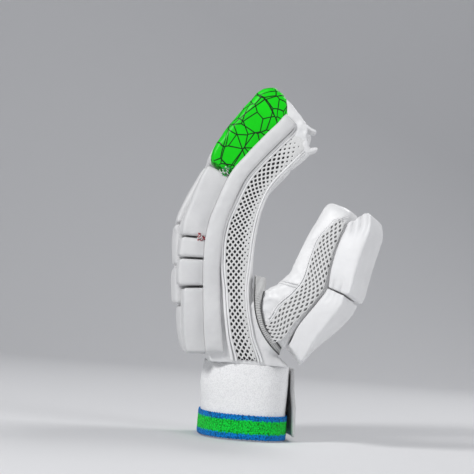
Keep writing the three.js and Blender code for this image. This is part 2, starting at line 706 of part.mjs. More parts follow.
function buildThumb() {
  const margin = WINDOW_MARGIN / THUMB_DEPTH;
  const windowEdges = THUMB_MESH_EDGES.map((row) => ({
    at: row.at,
    from: row.from + margin,
    to: row.to - margin,
  }));
  const rows = THUMB.map((row) => row.at);
  const between = (from, to) => [from, ...rows.filter((at) => at > from && at < to), to];
  const window = thumbStrip(windowEdges, between(THUMB_WINDOW.from, THUMB_WINDOW.to), -3 * WALL, 2 * WALL);
  const stall = thumbSolid(0, false)
    .subtract(thumbSolid(-WALL, true))
    .subtract(handSolid(GAP, 0))
    .subtract(toManifold(window));
  add("thumb_stall", fromManifold(stall), "leather");

  const ends = between(THUMB_MESH_EDGES[0].at, THUMB_MESH_EDGES.at(-1).at);
  const panel = toManifold(thumbStrip(THUMB_MESH_EDGES, ends, GAP, GAP + MESH_THICK));
  const widthAt = (at) => thumbSection(at).depth;
  const holes = diamonds(THUMB_MESH_EDGES, thumbSidePoint, () => THUMB_LENGTH, widthAt, THUMB_HOLES);
  add("thumb_mesh", fromManifold(panel.subtract(holes)), "mesh");

  const frame = (at, across, up) => {
    const part = thumbSection(at);
    return thumbPlace(part, (across * part.width * THUMB_PAD_SPREAD) / 2, part.depth / 2 + PAD_GAP + up);
  };
  for (const { name, from, to, thick } of THUMB_PADS) {
    add(name, pad(ROLL_RUN, rows, from, to, thick, frame), "pad");
  }
}

function buildThumbSeam() {
  const grid = (deep) => THUMB_SEAM.map((row) => STRIP_CELLS.map((cell) => {
    const at = (name) => row[name] + cell * (row[`${name}To`] - row[name]);
    const out = at("side") * THUMB_OFFSET + (cell === 0.5 ? SEAM_CROWN : 0);
    return [at("reach") * HAND_DEPTH, deep - out, WRIST_Z + at("rise") * HAND_RISE];
  }));
  const band = toManifold(slab(grid(SEAM_DEPTH), grid(0)))
    .subtract(handSolid(GAP, 0))
    .subtract(thumbSolid(GAP, false));
  add("thumb_welt", fromManifold(band), "leather");
}

// A point of the cuff's outline at an angle and a height, grown outwards by grow
function cuffPoint(angle, z, grow) {
  const power = 2 / CUFF_ROUNDNESS;
  const cosine = Math.cos(angle);
  const sine = Math.sin(angle);
  return [
    CUFF_OFFSET + (CUFF_DEPTH / 2 + grow) * Math.sign(cosine) * Math.abs(cosine) ** power,
    (CUFF_WIDTH / 2 + grow) * Math.sign(sine) * Math.abs(sine) ** power,
    z,
  ];
}

function cuffRing(z, grow) {
  return Array.from({ length: CUFF_STEPS }, (_, i) => cuffPoint((i * 2 * Math.PI) / CUFF_STEPS, z, grow));
}

function ringWall(low, high, inner, outer) {
  const body = toManifold(loft([cuffRing(low, outer), cuffRing(high, outer)]));
  return fromManifold(body.subtract(toManifold(loft([cuffRing(low - 1, inner), cuffRing(high + 1, inner)]))));
}

// Loose end of the closure, lifting off the palm side of the cuff towards its free edge
function strapFlap() {
  const grid = (out) => STRIP_CELLS.map((rise) => STRAP_CELLS.map((share) => {
    const angle = (STRAP_START - share * STRAP_WIDTH) / (CUFF_WIDTH / 2);
    const lift = GAP + BAND_THICK + GAP + STRAP_LIFT * share ** 2 * (1 - STRAP_LEAN * rise);
    return cuffPoint(angle, STRAP_FOOT + rise * STRAP_HEIGHT, lift + out);
  }));
  return slab(grid(0), grid(STRAP_THICK));
}

function buildCuff() {
  add("cuff", ringWall(0, CUFF_HEIGHT, -CUFF_WALL, 0), "knit");
  add("stripe_band", ringWall(BAND_FOOT, BAND_FOOT + BAND_HEIGHT, GAP, GAP + BAND_THICK), "green");
  add("strap_flap", strapFlap(), "pad");
}

buildBody();
buildSide();
buildTabs();
buildPads();
buildThumb();
buildThumbSeam();
buildCuff();

// The origin is under the middle of the whole glove, on the surface that it stands on
const bounds = new THREE.Box3().setFromObject(glove);
const middle = bounds.getCenter(new THREE.Vector3());
glove.position.set(-middle.x, -middle.y, -bounds.min.z);

export default glove;
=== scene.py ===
"""A left-hand cricket batting glove standing on its cuff: the finished surfaces over the fixed frame."""
import math

import bmesh
import bpy
import numpy as np
from mathutils import Matrix, Vector, noise


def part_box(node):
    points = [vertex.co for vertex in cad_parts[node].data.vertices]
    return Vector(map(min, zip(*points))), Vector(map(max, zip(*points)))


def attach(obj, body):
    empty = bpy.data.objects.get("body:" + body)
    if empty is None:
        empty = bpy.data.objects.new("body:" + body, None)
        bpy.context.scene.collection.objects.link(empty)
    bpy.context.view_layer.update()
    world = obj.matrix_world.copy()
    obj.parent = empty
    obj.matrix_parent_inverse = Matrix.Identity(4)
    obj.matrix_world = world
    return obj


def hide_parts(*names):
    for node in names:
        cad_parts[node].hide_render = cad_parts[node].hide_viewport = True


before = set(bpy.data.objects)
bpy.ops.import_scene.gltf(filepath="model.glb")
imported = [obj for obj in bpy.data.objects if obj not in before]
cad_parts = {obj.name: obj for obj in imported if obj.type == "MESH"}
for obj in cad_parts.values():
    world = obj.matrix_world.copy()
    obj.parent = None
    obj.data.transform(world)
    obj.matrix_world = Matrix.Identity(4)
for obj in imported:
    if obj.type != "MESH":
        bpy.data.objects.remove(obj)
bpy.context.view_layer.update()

# Driving sizes, in millimetres
GAP = 0.3
PAD_GAP = 0.5
CUFF_HEIGHT = 60.5
CUFF_DEPTH = 70
CUFF_WIDTH = 87
CUFF_WALL = 2.4
CUFF_OFFSET = 4
BAND_FOOT = 1.2
BAND_HEIGHT = 19.4
BAND_THICK = 1.5
STRAP_WIDTH = 46
STRAP_THICK = 2.2
STRAP_LIFT = 4
STRAP_START = 30
STRAP_FOOT = 4.5
STRAP_LEAN = 0.7
HAND_RISE = 104.9
HAND_DEPTH = 41
FINGER_WIDTH = 24
FINGER_GAP = 0.4
FINGER_RISE = 92
FINGER_REACH = 50
FINGER_DEPTH = 37
ARCH = 6
PAD_THICK = 19
TIP_PAD_THICK = 26
BACK_ROLL_THICK = 15.5
PAD_INSET = 0.4
THUMB_RISE = 104
THUMB_REACH = 54
THUMB_DEPTH = 31
THUMB_WIDTH = 40
THUMB_OFFSET = 46
THUMB_LENGTH = 115
THUMB_PAD_THICK = 20.5
THUMB_LOW_PAD_THICK = 17.5
THUMB_PAD_SPREAD = 1.05
THUMB_RUN = 118

# What the finished surfaces add, in millimetres; a span is a range of places along the side
SKIN_CELL = 1.55
WEB_RADIUS = 3.0
PAD_CELL = 1.1
BAR_LIFT = 5.4
BAR_SPAN = (0.09, 1.985)
BAR_OVERHANG = 0.045
BAR_SQUARENESS = 0.17
NET_LIFT = 0.95
NET_THICK = 1.0
NET_MERGE = 0.05
SIDE_NET_SPAN = (0.03, 1.95)
SIDE_NET_PITCH = (4.2, 5.3)
THUMB_NET_SPAN = (-0.11, 0.92)
THUMB_NET_PITCH = (3.5, 6.6)
KNIT_TUCK = 1.3
STRIPE_LOW = 5.9
STRIPE_HIGH = 16.7
STRIPE_RAGGED = 2.6
STRAND_RADIUS = 0.34

# The photograph's view: pixel places, metres a pixel at the near side, degrees, metres and millimetres
PHOTO_SIZE = 474
PHOTO_MIDDLE = 237
PHOTO_FOOT_X = 240.5
PHOTO_FOOT_Y = 440
PIXEL = 0.00081
VIEW_TURN = 5
VIEW_ROLL = 4.7
VIEW_DISTANCE = 1.168
VIEW_HEIGHT = 100
NEAR_SIDE = 48
SENSOR = 36

WRIST_Z = CUFF_HEIGHT + GAP
COLUMN_PITCH = FINGER_WIDTH + FINGER_GAP
HAND_WIDTH = 4 * FINGER_WIDTH + 3 * FINGER_GAP
ROUNDNESS = 4.5
CUFF_POWER = 2 / 2.5
TINY = 1e-9
FINGER_RUN = math.hypot(FINGER_RISE, FINGER_REACH)

# Where the cuff's middle lies in the frame, so that every piece can be placed from it
CUFF_LOW, CUFF_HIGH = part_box("cuff")
HOME = np.array([
    (CUFF_LOW[0] + CUFF_HIGH[0]) * 500 - CUFF_OFFSET,
    (CUFF_LOW[1] + CUFF_HIGH[1]) * 500,
    CUFF_LOW[2] * 1000,
])


def table(*rows):
    """A table of sections: the first column is the place along, the rest are read between rows."""
    return np.array(rows, dtype=float)


# rise, shift, depth, width, lean, arch
HAND = table(
    (0.0, 0.11, 1.66, 0.885, 0, 0.0),
    (0.13, -0.2, 1.27, 0.93, -4, 0.3),
    (0.25, -0.355, 1.07, 0.97, -4, 0.5),
    (0.41, -0.437, 1.005, 1.0, -5, 0.6),
    (0.56, -0.476, 1.0, 1.0, -5, 0.6),
    (0.77, -0.517, 1.0, 1.0, -2, 0.6),
    (0.92, -0.515, 1.01, 1.0, 0, 0.75),
    (1.0, -0.5, 1.0, 1.0, 4, 1.0),
)
# rise, reach, depth, lean, arch
FINGER = table(
    (0.0, 0.0, 1.108, 4, 1.0),
    (0.11, 0.03, 1.09, 4, 0.9),
    (0.23, 0.084, 1.03, 8, 0.7),
    (0.345, 0.15, 1.0, 15, 0.4),
    (0.466, 0.24, 0.98, 25, 0.15),
    (0.592, 0.394, 0.93, 36, 0.0),
    (0.784, 0.686, 0.94, 39, 0.0),
    (0.934, 0.914, 0.93, 40, 0.0),
    (1.0, 0.975, 0.84, 42, 0.0),
)
# at, rise, reach, depth, width, side, lean, turn
THUMB = table(
    (-0.3, 0.2, -0.06, 1.5, 0.86, 0.5, 58, 0),
    (-0.15, 0.27, 0.12, 1.52, 0.92, 0.62, 57, 2),
    (0.0, 0.33, 0.32, 1.5, 0.98, 0.78, 52, 6),
    (0.13, 0.44, 0.47, 1.36, 1.0, 0.88, 45, 13),
    (0.25, 0.535, 0.69, 1.22, 1.0, 0.95, 33, 20),
    (0.4, 0.665, 0.9, 1.2, 1.0, 1.0, 21, 26),
    (0.57, 0.835, 1.0, 1.08, 0.98, 1.0, 19, 28),
    (0.7, 0.96, 1.07, 1.0, 0.97, 1.0, 18, 28),
    (0.84, 1.1, 1.165, 0.94, 0.93, 1.0, 18, 28),
    (0.95, 1.22, 1.24, 0.88, 0.88, 1.0, 19, 28),
    (1.0, 1.285, 1.28, 0.74, 0.78, 1.0, 19, 28),
)
# at, from, to: shares of the depth from the back of the hand to the palm
BAR_EDGES = table(
    (0.04, 0.04, 0.21),
    (0.13, 0.04, 0.27),
    (0.3, 0.04, 0.33),
    (1.0, 0.04, 0.32),
    (1.35, 0.04, 0.345),
    (1.97, 0.04, 0.36),
)
MESH_EDGES = table(
    (0.02, 0.36, 0.6),
    (0.13, 0.45, 0.74),
    (0.3, 0.5, 0.84),
    (0.56, 0.48, 0.82),
    (0.77, 0.43, 0.87),
    (1.0, 0.41, 0.88),
    (1.4, 0.46, 0.88),
    (1.97, 0.475, 0.88),
)
THUMB_MESH_EDGES = table(
    (-0.11, 0.44, 0.8),
    (-0.02, 0.47, 0.84),
    (0.25, 0.5, 0.93),
    (0.7, 0.46, 0.93),
    (0.92, 0.7, 0.93),
)
# pad, from, to, thickness: below 1 a share of the hand, above 1 one more than a share of the finger
OUTER_PADS = (
    ("roll_4", 0.09, 0.585, BACK_ROLL_THICK),
    ("roll_3", 0.603, 0.79, PAD_THICK),
    ("roll_2", 0.806, 0.942, PAD_THICK),
    ("upper_pad", 0.955, 1.435, PAD_THICK),
    ("tip_pad", 1.45, 2.085, TIP_PAD_THICK),
)
INNER_PADS = (
    ("roll_4", 0.07, 0.452, BACK_ROLL_THICK),
    ("roll_3", 0.467, 0.737, PAD_THICK),
    ("roll_2", 0.752, 1.03, PAD_THICK),
    ("upper_pad", 1.045, 1.435, PAD_THICK),
    ("tip_pad", 1.45, 2.085, TIP_PAD_THICK),
)
# column: its place across the hand, its finger's length and its pads
COLUMNS = {
    "index": (-1.5, 1.0, OUTER_PADS),
    "middle": (-0.5, 1.02, INNER_PADS),
    "ring": (0.5, 1.0, INNER_PADS),
    "little": (1.5, 0.85, OUTER_PADS),
}
# node, from, to, thickness
THUMB_PADS = (
    ("thumb_upper_pad", 0.42, 0.99, THUMB_PAD_THICK),
    ("thumb_lower_pad", 0.02, 0.41, THUMB_LOW_PAD_THICK),
)
# Seam band round the thumb's base: reach, rise and side of its one edge, then of its other
THUMB_SEAM = table(
    (0.0, 0.025, 0.698, 1.03, 0.24, 0.683, 1.05),
    (0.06, 0.02, 0.66, 1.07, 0.25, 0.64, 1.1),
    (0.18, 0.025, 0.56, 1.08, 0.2, 0.536, 1.17),
    (0.3, 0.045, 0.47, 1.1, 0.185, 0.464, 1.195),
    (0.45, 0.12, 0.354, 1.1, 0.24, 0.369, 1.185),
    (0.58, 0.21, 0.278, 1.1, 0.31, 0.302, 1.175),
    (0.72, 0.335, 0.206, 1.1, 0.43, 0.245, 1.18),
    (0.88, 0.5, 0.138, 1.08, 0.555, 0.195, 1.17),
    (1.0, 0.62, 0.1, 1.05, 0.645, 0.158, 1.12),
)


def slopes(x, y):
    """Slopes of a smooth curve through a table that never overshoots its rows."""
    step = np.diff(x)
    rate = np.diff(y) / step
    slope = np.zeros_like(y)
    for i in range(1, len(x) - 1):
        if rate[i - 1] * rate[i] > 0:
            a = 2 * step[i] + step[i - 1]
            b = step[i] + 2 * step[i - 1]
            slope[i] = (a + b) / (a / rate[i - 1] + b / rate[i])
    slope[0] = rate[0]
    slope[-1] = rate[-1]
    return slope


SLOPES = {}


def read(rows, column, at):
    """A table's column at a place, on a smooth curve through its rows."""
    key = (id(rows), column)
    x = rows[:, 0]
    y = rows[:, column]
    if key not in SLOPES:
        SLOPES[key] = slopes(x, y)
    slope = SLOPES[key]
    at = min(max(at, x[0]), x[-1])
    i = min(int(np.searchsorted(x, at, side="right")) - 1, len(x) - 2)
    step = x[i + 1] - x[i]
    t = (at - x[i]) / step
    h00 = 2 * t ** 3 - 3 * t ** 2 + 1
    h10 = t ** 3 - 2 * t ** 2 + t
    h01 = 3 * t ** 2 - 2 * t ** 3
    h11 = t ** 3 - t ** 2
    return h00 * y[i] + h10 * step * slope[i] + h01 * y[i + 1] + h11 * step * slope[i + 1]


def smoothstep(x, low, high):
    t = min(max((x - low) / (high - low), 0.0), 1.0)
    return t * t * (3 - 2 * t)


def arch_at(y):
    inner = COLUMN_PITCH / 2
    outer = COLUMN_PITCH * 1.5
    return 1 - min(max((abs(y) - inner) / (outer - inner), 0.0), 1.0)


class Section:
    """Section of one column of the glove: below 1 on the hand, above 1 on its finger."""

    def __init__(self, name, at):
        spot, length, _ = COLUMNS[name]
        past = max(at - 2, 0) * FINGER_RUN * length
        at = min(at, 2.0)
        if at <= 1:
            shift, depth, self.width, lean, arch = (read(HAND, column, at) for column in range(1, 6))
            x = shift * HAND_DEPTH
            z = WRIST_Z + at * HAND_RISE
            self.depth = depth * HAND_DEPTH
        else:
            reach, depth, lean, arch = (read(FINGER, column, at - 1) for column in range(1, 5))
            x = read(HAND, 1, 1.0) * HAND_DEPTH + reach * FINGER_REACH * length
            z = WRIST_Z + HAND_RISE + (at - 1) * FINGER_RISE * length
            self.depth = depth * FINGER_DEPTH
            self.width = 1.0
        self.arch = arch * ARCH
        self.y = spot / 1.5 * (HAND_WIDTH * self.width - FINGER_WIDTH) / 2
        lean = math.radians(lean)
        self.normal = np.array([math.cos(lean), 0.0, -math.sin(lean)])
        self.along = np.array([math.sin(lean), 0.0, math.cos(lean)])
        self.centre = np.array([x, self.y, z]) + self.along * past

    def point(self, y, deep):
        return np.array([self.centre[0], y, self.centre[2]]) + self.normal * deep


class ThumbSection:
    """Section of the thumb: below 0 its heel in the hand, 1 its tip."""

    def __init__(self, at):
        rise, reach, depth, width, side, lean, turn = (read(THUMB, column, at) for column in range(1, 8))
        lean = math.radians(lean)
        turn = math.radians(turn)
        near = np.array([math.cos(lean), 0.0, -math.sin(lean)])
        far = np.array([0.0, 1.0, 0.0])
        self.centre = np.array([reach * THUMB_REACH, -side * THUMB_OFFSET, WRIST_Z + rise * THUMB_RISE])
        self.back = near * math.cos(turn) - far * math.sin(turn)
        self.across = far * math.cos(turn) + near * math.sin(turn)
        self.along = np.array([math.sin(lean), 0.0, math.cos(lean)])
        self.depth = depth * THUMB_DEPTH
        self.width = width * THUMB_WIDTH

    def point(self, across, out):
        return self.centre + self.across * across + self.back * out


def roundness_at(deep):
    """Half width of a rounded section, as a share, at a share of its half depth."""
    return (1 - min(abs(deep), 1.0) ** ROUNDNESS) ** (1 / ROUNDNESS)


def side_point(at, across, out=0.0, flat=False):
    """A point of the index side: across is a share from the back to the palm, out is towards the viewer.

    A flat one keeps its distance where the leather rounds off under it.
    """
    part = Section("index", at)
    deep = 2 * across - 1
    wide = 1 if flat else roundness_at(deep)
    point = part.point(part.y - wide * FINGER_WIDTH / 2, deep * part.depth / 2)
    point[1] -= out
    return point


def thumb_side_point(at, along, out=0.0):
    """A point of the thumb's near side: along is a share from the grip side to its back."""
    part = ThumbSection(at)
    deep = 2 * along - 1
    return part.point(-roundness_at(deep) * part.width / 2 - out, deep * part.depth / 2)


def seam_point(t, cell, out=0.0):
    """A point of the thumb's seam band: t along it, cell from its palm side to its thumb side."""
    palm_side, thumb_side = (np.array([read(THUMB_SEAM, column, t) for column in columns])
                             for columns in ((1, 2, 3), (4, 5, 6)))
    reach, rise, side = palm_side * (1 - cell) + thumb_side * cell
    return np.array([reach * HAND_DEPTH, -side * THUMB_OFFSET - out, WRIST_Z + rise * HAND_RISE])


def tip_point(toward_palm, past, y):
    """A point at the index fingertip, measured from the middle of its last section."""
    part = Section("index", 2.0)
    return part.centre + np.array([0.0, y, 0.0]) + part.normal * toward_palm + part.along * past


def cuff_point(angle, z, grow):
    """A point of the cuff's oval at an angle and a height, grown outwards."""
    cosine, sine = (math.copysign(abs(v) ** CUFF_POWER, v) for v in (math.cos(angle), math.sin(angle)))
    return np.array([CUFF_OFFSET + (CUFF_DEPTH / 2 + grow) * cosine, (CUFF_WIDTH / 2 + grow) * sine, z])


def ripple(x, y, z):
    """Smooth noise between about -1 and 1."""
    return noise.noise(Vector((x, y, z)))


def run_length(place, steps):
    """Length in millimetres of the path that place gives from 0 to 1."""
    points = [place(i / steps, 0, 0) for i in range(steps + 1)]
    return sum(np.linalg.norm(b - a) for a, b in zip(points, points[1:]))


def to_metres(points):
    return [tuple((np.asarray(p) + HOME) * 0.001) for p in points]


# Making objects
def new_mesh(name, points, faces):
    mesh = bpy.data.meshes.new(name)
    mesh.from_pydata(to_metres(points), [], faces)
    return mesh


def add_object(name, data):
    obj = bpy.data.objects.new(name, data)
    bpy.context.scene.collection.objects.link(obj)
    return obj


def shade_smooth(mesh):
    for face in mesh.polygons:
        face.use_smooth = True


def finish_object(obj, material):
    """Gives a piece its material, smooth shading and outward normals."""
    obj.data.materials.clear()
    obj.data.materials.append(material)
    shade_smooth(obj.data)
    bm = bmesh.new()
    bm.from_mesh(obj.data)
    bmesh.ops.recalc_face_normals(bm, faces=bm.faces)
    bm.to_mesh(obj.data)
    bm.free()


def claim(obj, nodes, slot):
    """Every piece rides on the one body; some stand for a solid, or for several."""
    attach(obj, "root")
    if nodes:
        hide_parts(*([nodes] if isinstance(nodes, str) else nodes))


def make(name, points, faces, material, node, slot):
    mesh = new_mesh(name, points, faces)
    mesh.validate()
    obj = add_object(name, mesh)
    finish_object(obj, material)
    claim(obj, node, slot)
    return obj


def apply_modifiers(obj):
    depsgraph = bpy.context.evaluated_depsgraph_get()
    baked = bpy.data.meshes.new_from_object(obj.evaluated_get(depsgraph))
    old = obj.data
    obj.modifiers.clear()
    obj.data = baked
    bpy.data.meshes.remove(old)


def subdivide(obj):
    modifier = obj.modifiers.new("round", "SUBSURF")
    modifier.levels = modifier.render_levels = 1
    apply_modifiers(obj)


def soften(obj, factor, iterations, group=""):
    """Evens a surface out, in one vertex group if it is named."""
    modifier = obj.modifiers.new("soften", "SMOOTH")
    modifier.factor = factor
    modifier.iterations = iterations
    modifier.vertex_group = group
    apply_modifiers(obj)


def grid_faces(rows, columns, start=0, wrap=False):
    faces = []
    for i in range(rows - 1):
        for j in range(columns if wrap else columns - 1):
            a = start + i * columns + j
            b = start + i * columns + (j + 1) % columns
            faces.append((a, b, b + columns, a + columns))
    return faces


def ring_faces(rings, sides):
    """Faces of a closed body made of rings of points."""
    ends = [tuple(range(sides)), tuple(range((rings - 1) * sides, rings * sides))]
    return grid_faces(rings, sides, wrap=True) + ends


def slab(rows, columns, pair):
    """Closed body of rows by columns cells: pair gives its inner and outer point at a row and a column."""
    pairs = [pair(i, j) for i in range(rows + 1) for j in range(columns + 1)]
    points = [inner for inner, _ in pairs] + [outer for _, outer in pairs]
    step = columns + 1
    shift = len(pairs)
    faces = grid_faces(rows + 1, step) + grid_faces(rows + 1, step, shift)
    for i in range(rows):
        for a in (i * step, i * step + columns):
            faces.append((a, a + step, a + step + shift, a + shift))
    for j in range(columns):
        for a in (j, rows * step + j):
            faces.append((a, a + 1, a + 1 + shift, a + shift))
    return points, faces


def tube(path, radius, sides=8):
    """Closed tube along a path; radius may be a list, one for each point."""
    count = len(path)
    radii = radius if isinstance(radius, list) else [radius] * count
    points = []
    normal = np.array((0.0, -1.0, 0.0))
    for i, point in enumerate(path):
        ahead = path[min(i + 1, count - 1)] - path[max(i - 1, 0)]
        ahead = ahead / max(np.linalg.norm(ahead), TINY)
        normal = normal - ahead * np.dot(normal, ahead)
        normal = normal / max(np.linalg.norm(normal), TINY)
        side = np.cross(ahead, normal)
        for j in range(sides):
            angle = 2 * math.pi * j / sides
            points.append(point + radii[i] * (math.cos(angle) * side + math.sin(angle) * normal))
    return points, ring_faces(count, sides)


def merged(bodies):
    """Several bodies as one list of points and faces."""
    points, faces = [], []
    for some_points, some_faces in bodies:
        shift = len(points)
        points.extend(some_points)
        faces.extend(tuple(i + shift for i in face) for face in some_faces)
    return points, faces


def rounded_box(steps, radius, sizes, foot=0.0):
    """Points and faces of a box with rounded edges, and the flat unfolded place of each face corner.

    The x axis runs along the pad, y across it and z up; its lower edges are rounded by foot alone.
    """
    points, faces, flat, index = [], [], [], {}
    half = [size / 2 for size in sizes]

    def vertex(key):
        if key not in index:
            index[key] = len(points)
            place = [(2 * k / n - 1) * h for k, n, h in zip(key, steps, half)]
            upper = place[2] > 0
            edge = [radius, radius, radius if upper else foot]
            core = [min(max(p, -(h - e)), h - e) for p, h, e in zip(place, half, edge)]
            rest = np.array(place) - np.array(core)
            size = np.linalg.norm(rest)
            if size > TINY:
                limit = radius if upper else max(radius * (1 - abs(rest[2]) / size), foot, TINY)
                rest = rest / size * min(size, limit)
            points.append(np.array(core) + rest)
        return index[key]

    def unfolded(key, axis, end):
        along, across, up = (k / n * size for k, n, size in zip(key, steps, sizes))
        if axis == 2:
            return along, across if end else -sizes[2] - across
        if axis == 1:
            return along, sizes[1] + sizes[2] - up if end else up - sizes[2]
        return sizes[0] + sizes[2] - up if end else -up, across

    for axis in range(3):
        u, v = [k for k in range(3) if k != axis]
        for end in (0, steps[axis]):
            for i in range(steps[u]):
                for j in range(steps[v]):
                    keys = []
                    for di, dj in ((0, 0), (1, 0), (1, 1), (0, 1)):
                        key = [0, 0, 0]
                        key[axis] = end
                        key[u] = i + di
                        key[v] = j + dj
                        keys.append(tuple(key))
                    faces.append(tuple(vertex(key) for key in keys))
                    flat.extend(unfolded(key, axis, end) for key in keys)
    return points, faces, flat


# Materials
def set_inputs(tree, node, inputs):
    """Links an input whose value is a socket, and sets any other."""
    for key, value in inputs.items():
        if isinstance(value, bpy.types.NodeSocket):
            tree.links.new(value, node.inputs[key])
        else:
            node.inputs[key].default_value = value


def add_node(tree, kind, inputs, **settings):
    node = tree.nodes.new(f"ShaderNode{kind}")
    for key, value in settings.items():
        setattr(node, key, value)
    set_inputs(tree, node, inputs)
    return node


def new_material(name):
    """A material, its node tree, its shader and its coordinates in millimetres."""
    material = bpy.data.materials.new(name)
    material.use_nodes = True
    tree = material.node_tree
    tree.nodes.clear()
    shader = add_node(tree, "BsdfPrincipled", {})
    add_node(tree, "OutputMaterial", {"Surface": shader.outputs["BSDF"]})
    source = add_node(tree, "TexCoord", {}).outputs["Object"]
    scaled = add_node(tree, "Mapping", {"Vector": source, "Scale": (1000, 1000, 1000)})
    return material, tree, shader, scaled.outputs["Vector"]


def cloud(tree, vector, scale, detail=3.0, rough=0.5):
    node = add_node(tree, "TexNoise", {"Vector": vector, "Scale": scale, "Detail": detail, "Roughness": rough})
    return node.outputs["Fac"]


def cells(tree, vector, scale, **settings):
    return add_node(tree, "TexVoronoi", {"Vector": vector, "Scale": scale}, **settings).outputs["Distance"]


def ramp(tree, value, stops):
    node = add_node(tree, "ValToRGB", {"Fac": value})
    while len(node.color_ramp.elements) < len(stops):
        node.color_ramp.elements.new(0.5)
    for element, (place, colour) in zip(node.color_ramp.elements, stops):
        element.position = place
        element.color = (*colour, 1)
    return node.outputs["Color"]


def bump(tree, shader, heights):
    """A chain of bumps: each entry is a height, its strength and its depth in millimetres."""
    last = {}
    for height, strength, depth in heights:
        inputs = {"Height": height, "Strength": strength, "Distance": depth * 0.001}
        last = {"Normal": add_node(tree, "Bump", {**inputs, **last}).outputs["Normal"]}
    set_inputs(tree, shader, last)


def grey(value, blue=0.0):
    return value, value, value + blue


def leather(name, light, dark, roughness, grain, coat=0.08):
    """Grained leather, a little patchy in tone and in shine."""
    material, tree, shader, vector = new_material(name)
    broad = cloud(tree, vector, 0.035, 4.0, 0.6)
    fine = cloud(tree, vector, 2.2)
    folds = cloud(tree, vector, 0.12, 3.0, 0.55)
    pores = cells(tree, vector, 1.1, feature="DISTANCE_TO_EDGE")
    bump(tree, shader, ((pores, 0.25 * grain, 0.12), (fine, 0.3 * grain, 0.08), (folds, 0.35, 0.8)))
    set_inputs(tree, shader, {
        "Base Color": ramp(tree, broad, ((0.3, dark), (0.7, light))),
        "Roughness": ramp(tree, fine, ((0.3, grey(roughness - 0.06)), (0.7, grey(roughness + 0.08)))),
        "Coat Weight": coat,
        "Coat Roughness": 0.3,
        "Specular IOR Level": 0.45,
    })
    return material


# Nets of dark lines on the green pad: cell size, shift and turn
LINE_NETS = ((13.0, 0.37, 0.3), (21.0, 5.1, 1.1), (31.0, 9.3, 2.0))
LINE_INNER = 0.3
LINE_OUTER = 0.62
LINE_COLOUR = (0.001, 0.012, 0.002, 1)
PAD_GREENS = ((0.25, (0.0, 0.60, 0.002)), (0.75, (0.0, 0.74, 0.003)))
BAND_BLUE = (0.0, 0.26, 0.78)
BAND_GREEN = (0.006, 0.84, 0.062)
BAND_EDGE = 0.008


def line_pattern(name):
    """Vivid green with thin dark straight lines that meet in a loose net of polygons."""
    material, tree, shader, vector = new_material(name)
    flat = add_node(tree, "UVMap", {}, uv_map="flat").outputs["UV"]
    mask = None
    for size, shift, turn in LINE_NETS:
        moved = add_node(tree, "Mapping", {
            "Vector": flat,
            "Location": (shift, shift * 2.3, 0),
            "Rotation": (0, 0, turn),
            "Scale": (1 / size, 1 / size, 1),
        }).outputs["Vector"]
        distance = cells(tree, moved, 1.0, voronoi_dimensions="2D", feature="DISTANCE_TO_EDGE")
        edges = {"Value": distance, "From Min": LINE_INNER / size, "From Max": LINE_OUTER / size}
        line = add_node(tree, "MapRange", edges).outputs["Result"]
        if mask is None:
            mask = line
        else:
            mask = add_node(tree, "Math", {0: mask, 1: line}, operation="MINIMUM").outputs[0]
    green = ramp(tree, cloud(tree, vector, 0.05), PAD_GREENS)
    mix = add_node(tree, "Mix", {"Factor": mask, "A": LINE_COLOUR, "B": green}, data_type="RGBA")
    bump(tree, shader, ((cloud(tree, vector, 2.0), 0.2, 0.06),))
    set_inputs(tree, shader, {
        "Base Color": mix.outputs["Result"],
        "Roughness": 0.5,
        "Specular IOR Level": 0.3,
        "Coat Weight": 0.04,
        "Coat Roughness": 0.25,
    })
    return material


def fabric(name, light, dark, pitch, roughness, depth, sheen=0.2):
    """Cloth or thread; pitch is the size of its grain."""
    material, tree, shader, vector = new_material(name)
    grain = cells(tree, vector, 1 / pitch)
    fuzz = cloud(tree, vector, 1.4 / pitch, 4.0, 0.65)
    bump(tree, shader, ((grain, 0.6, depth), (fuzz, 0.5, depth)))
    set_inputs(tree, shader, {
        "Base Color": ramp(tree, fuzz, ((0.3, dark), (0.62, light))),
        "Roughness": roughness,
        "Sheen Weight": sheen,
        "Specular IOR Level": 0.25,
    })
    return material


def stripes(tree, vector, loops):
    """Blue, green and blue by height over the band's foot, with ragged borders."""
    height = add_node(tree, "SeparateXYZ", {"Vector": vector}).outputs["Z"]
    ragged = add_node(tree, "Math", {0: loops, 1: STRIPE_RAGGED, 2: height}, operation="MULTIPLY_ADD")
    run = BAND_HEIGHT + STRIPE_RAGGED
    share = add_node(tree, "MapRange", {
        "Value": ragged.outputs[0],
        "From Min": BAND_FOOT,
        "From Max": BAND_FOOT + run,
    })
    low = STRIPE_LOW / run
    high = STRIPE_HIGH / run
    return ramp(tree, share.outputs["Result"], (
        (0.0, BAND_BLUE), (low - BAND_EDGE, BAND_BLUE), (low + BAND_EDGE, BAND_GREEN),
        (high - BAND_EDGE, BAND_GREEN), (high + BAND_EDGE, BAND_BLUE),
    ))


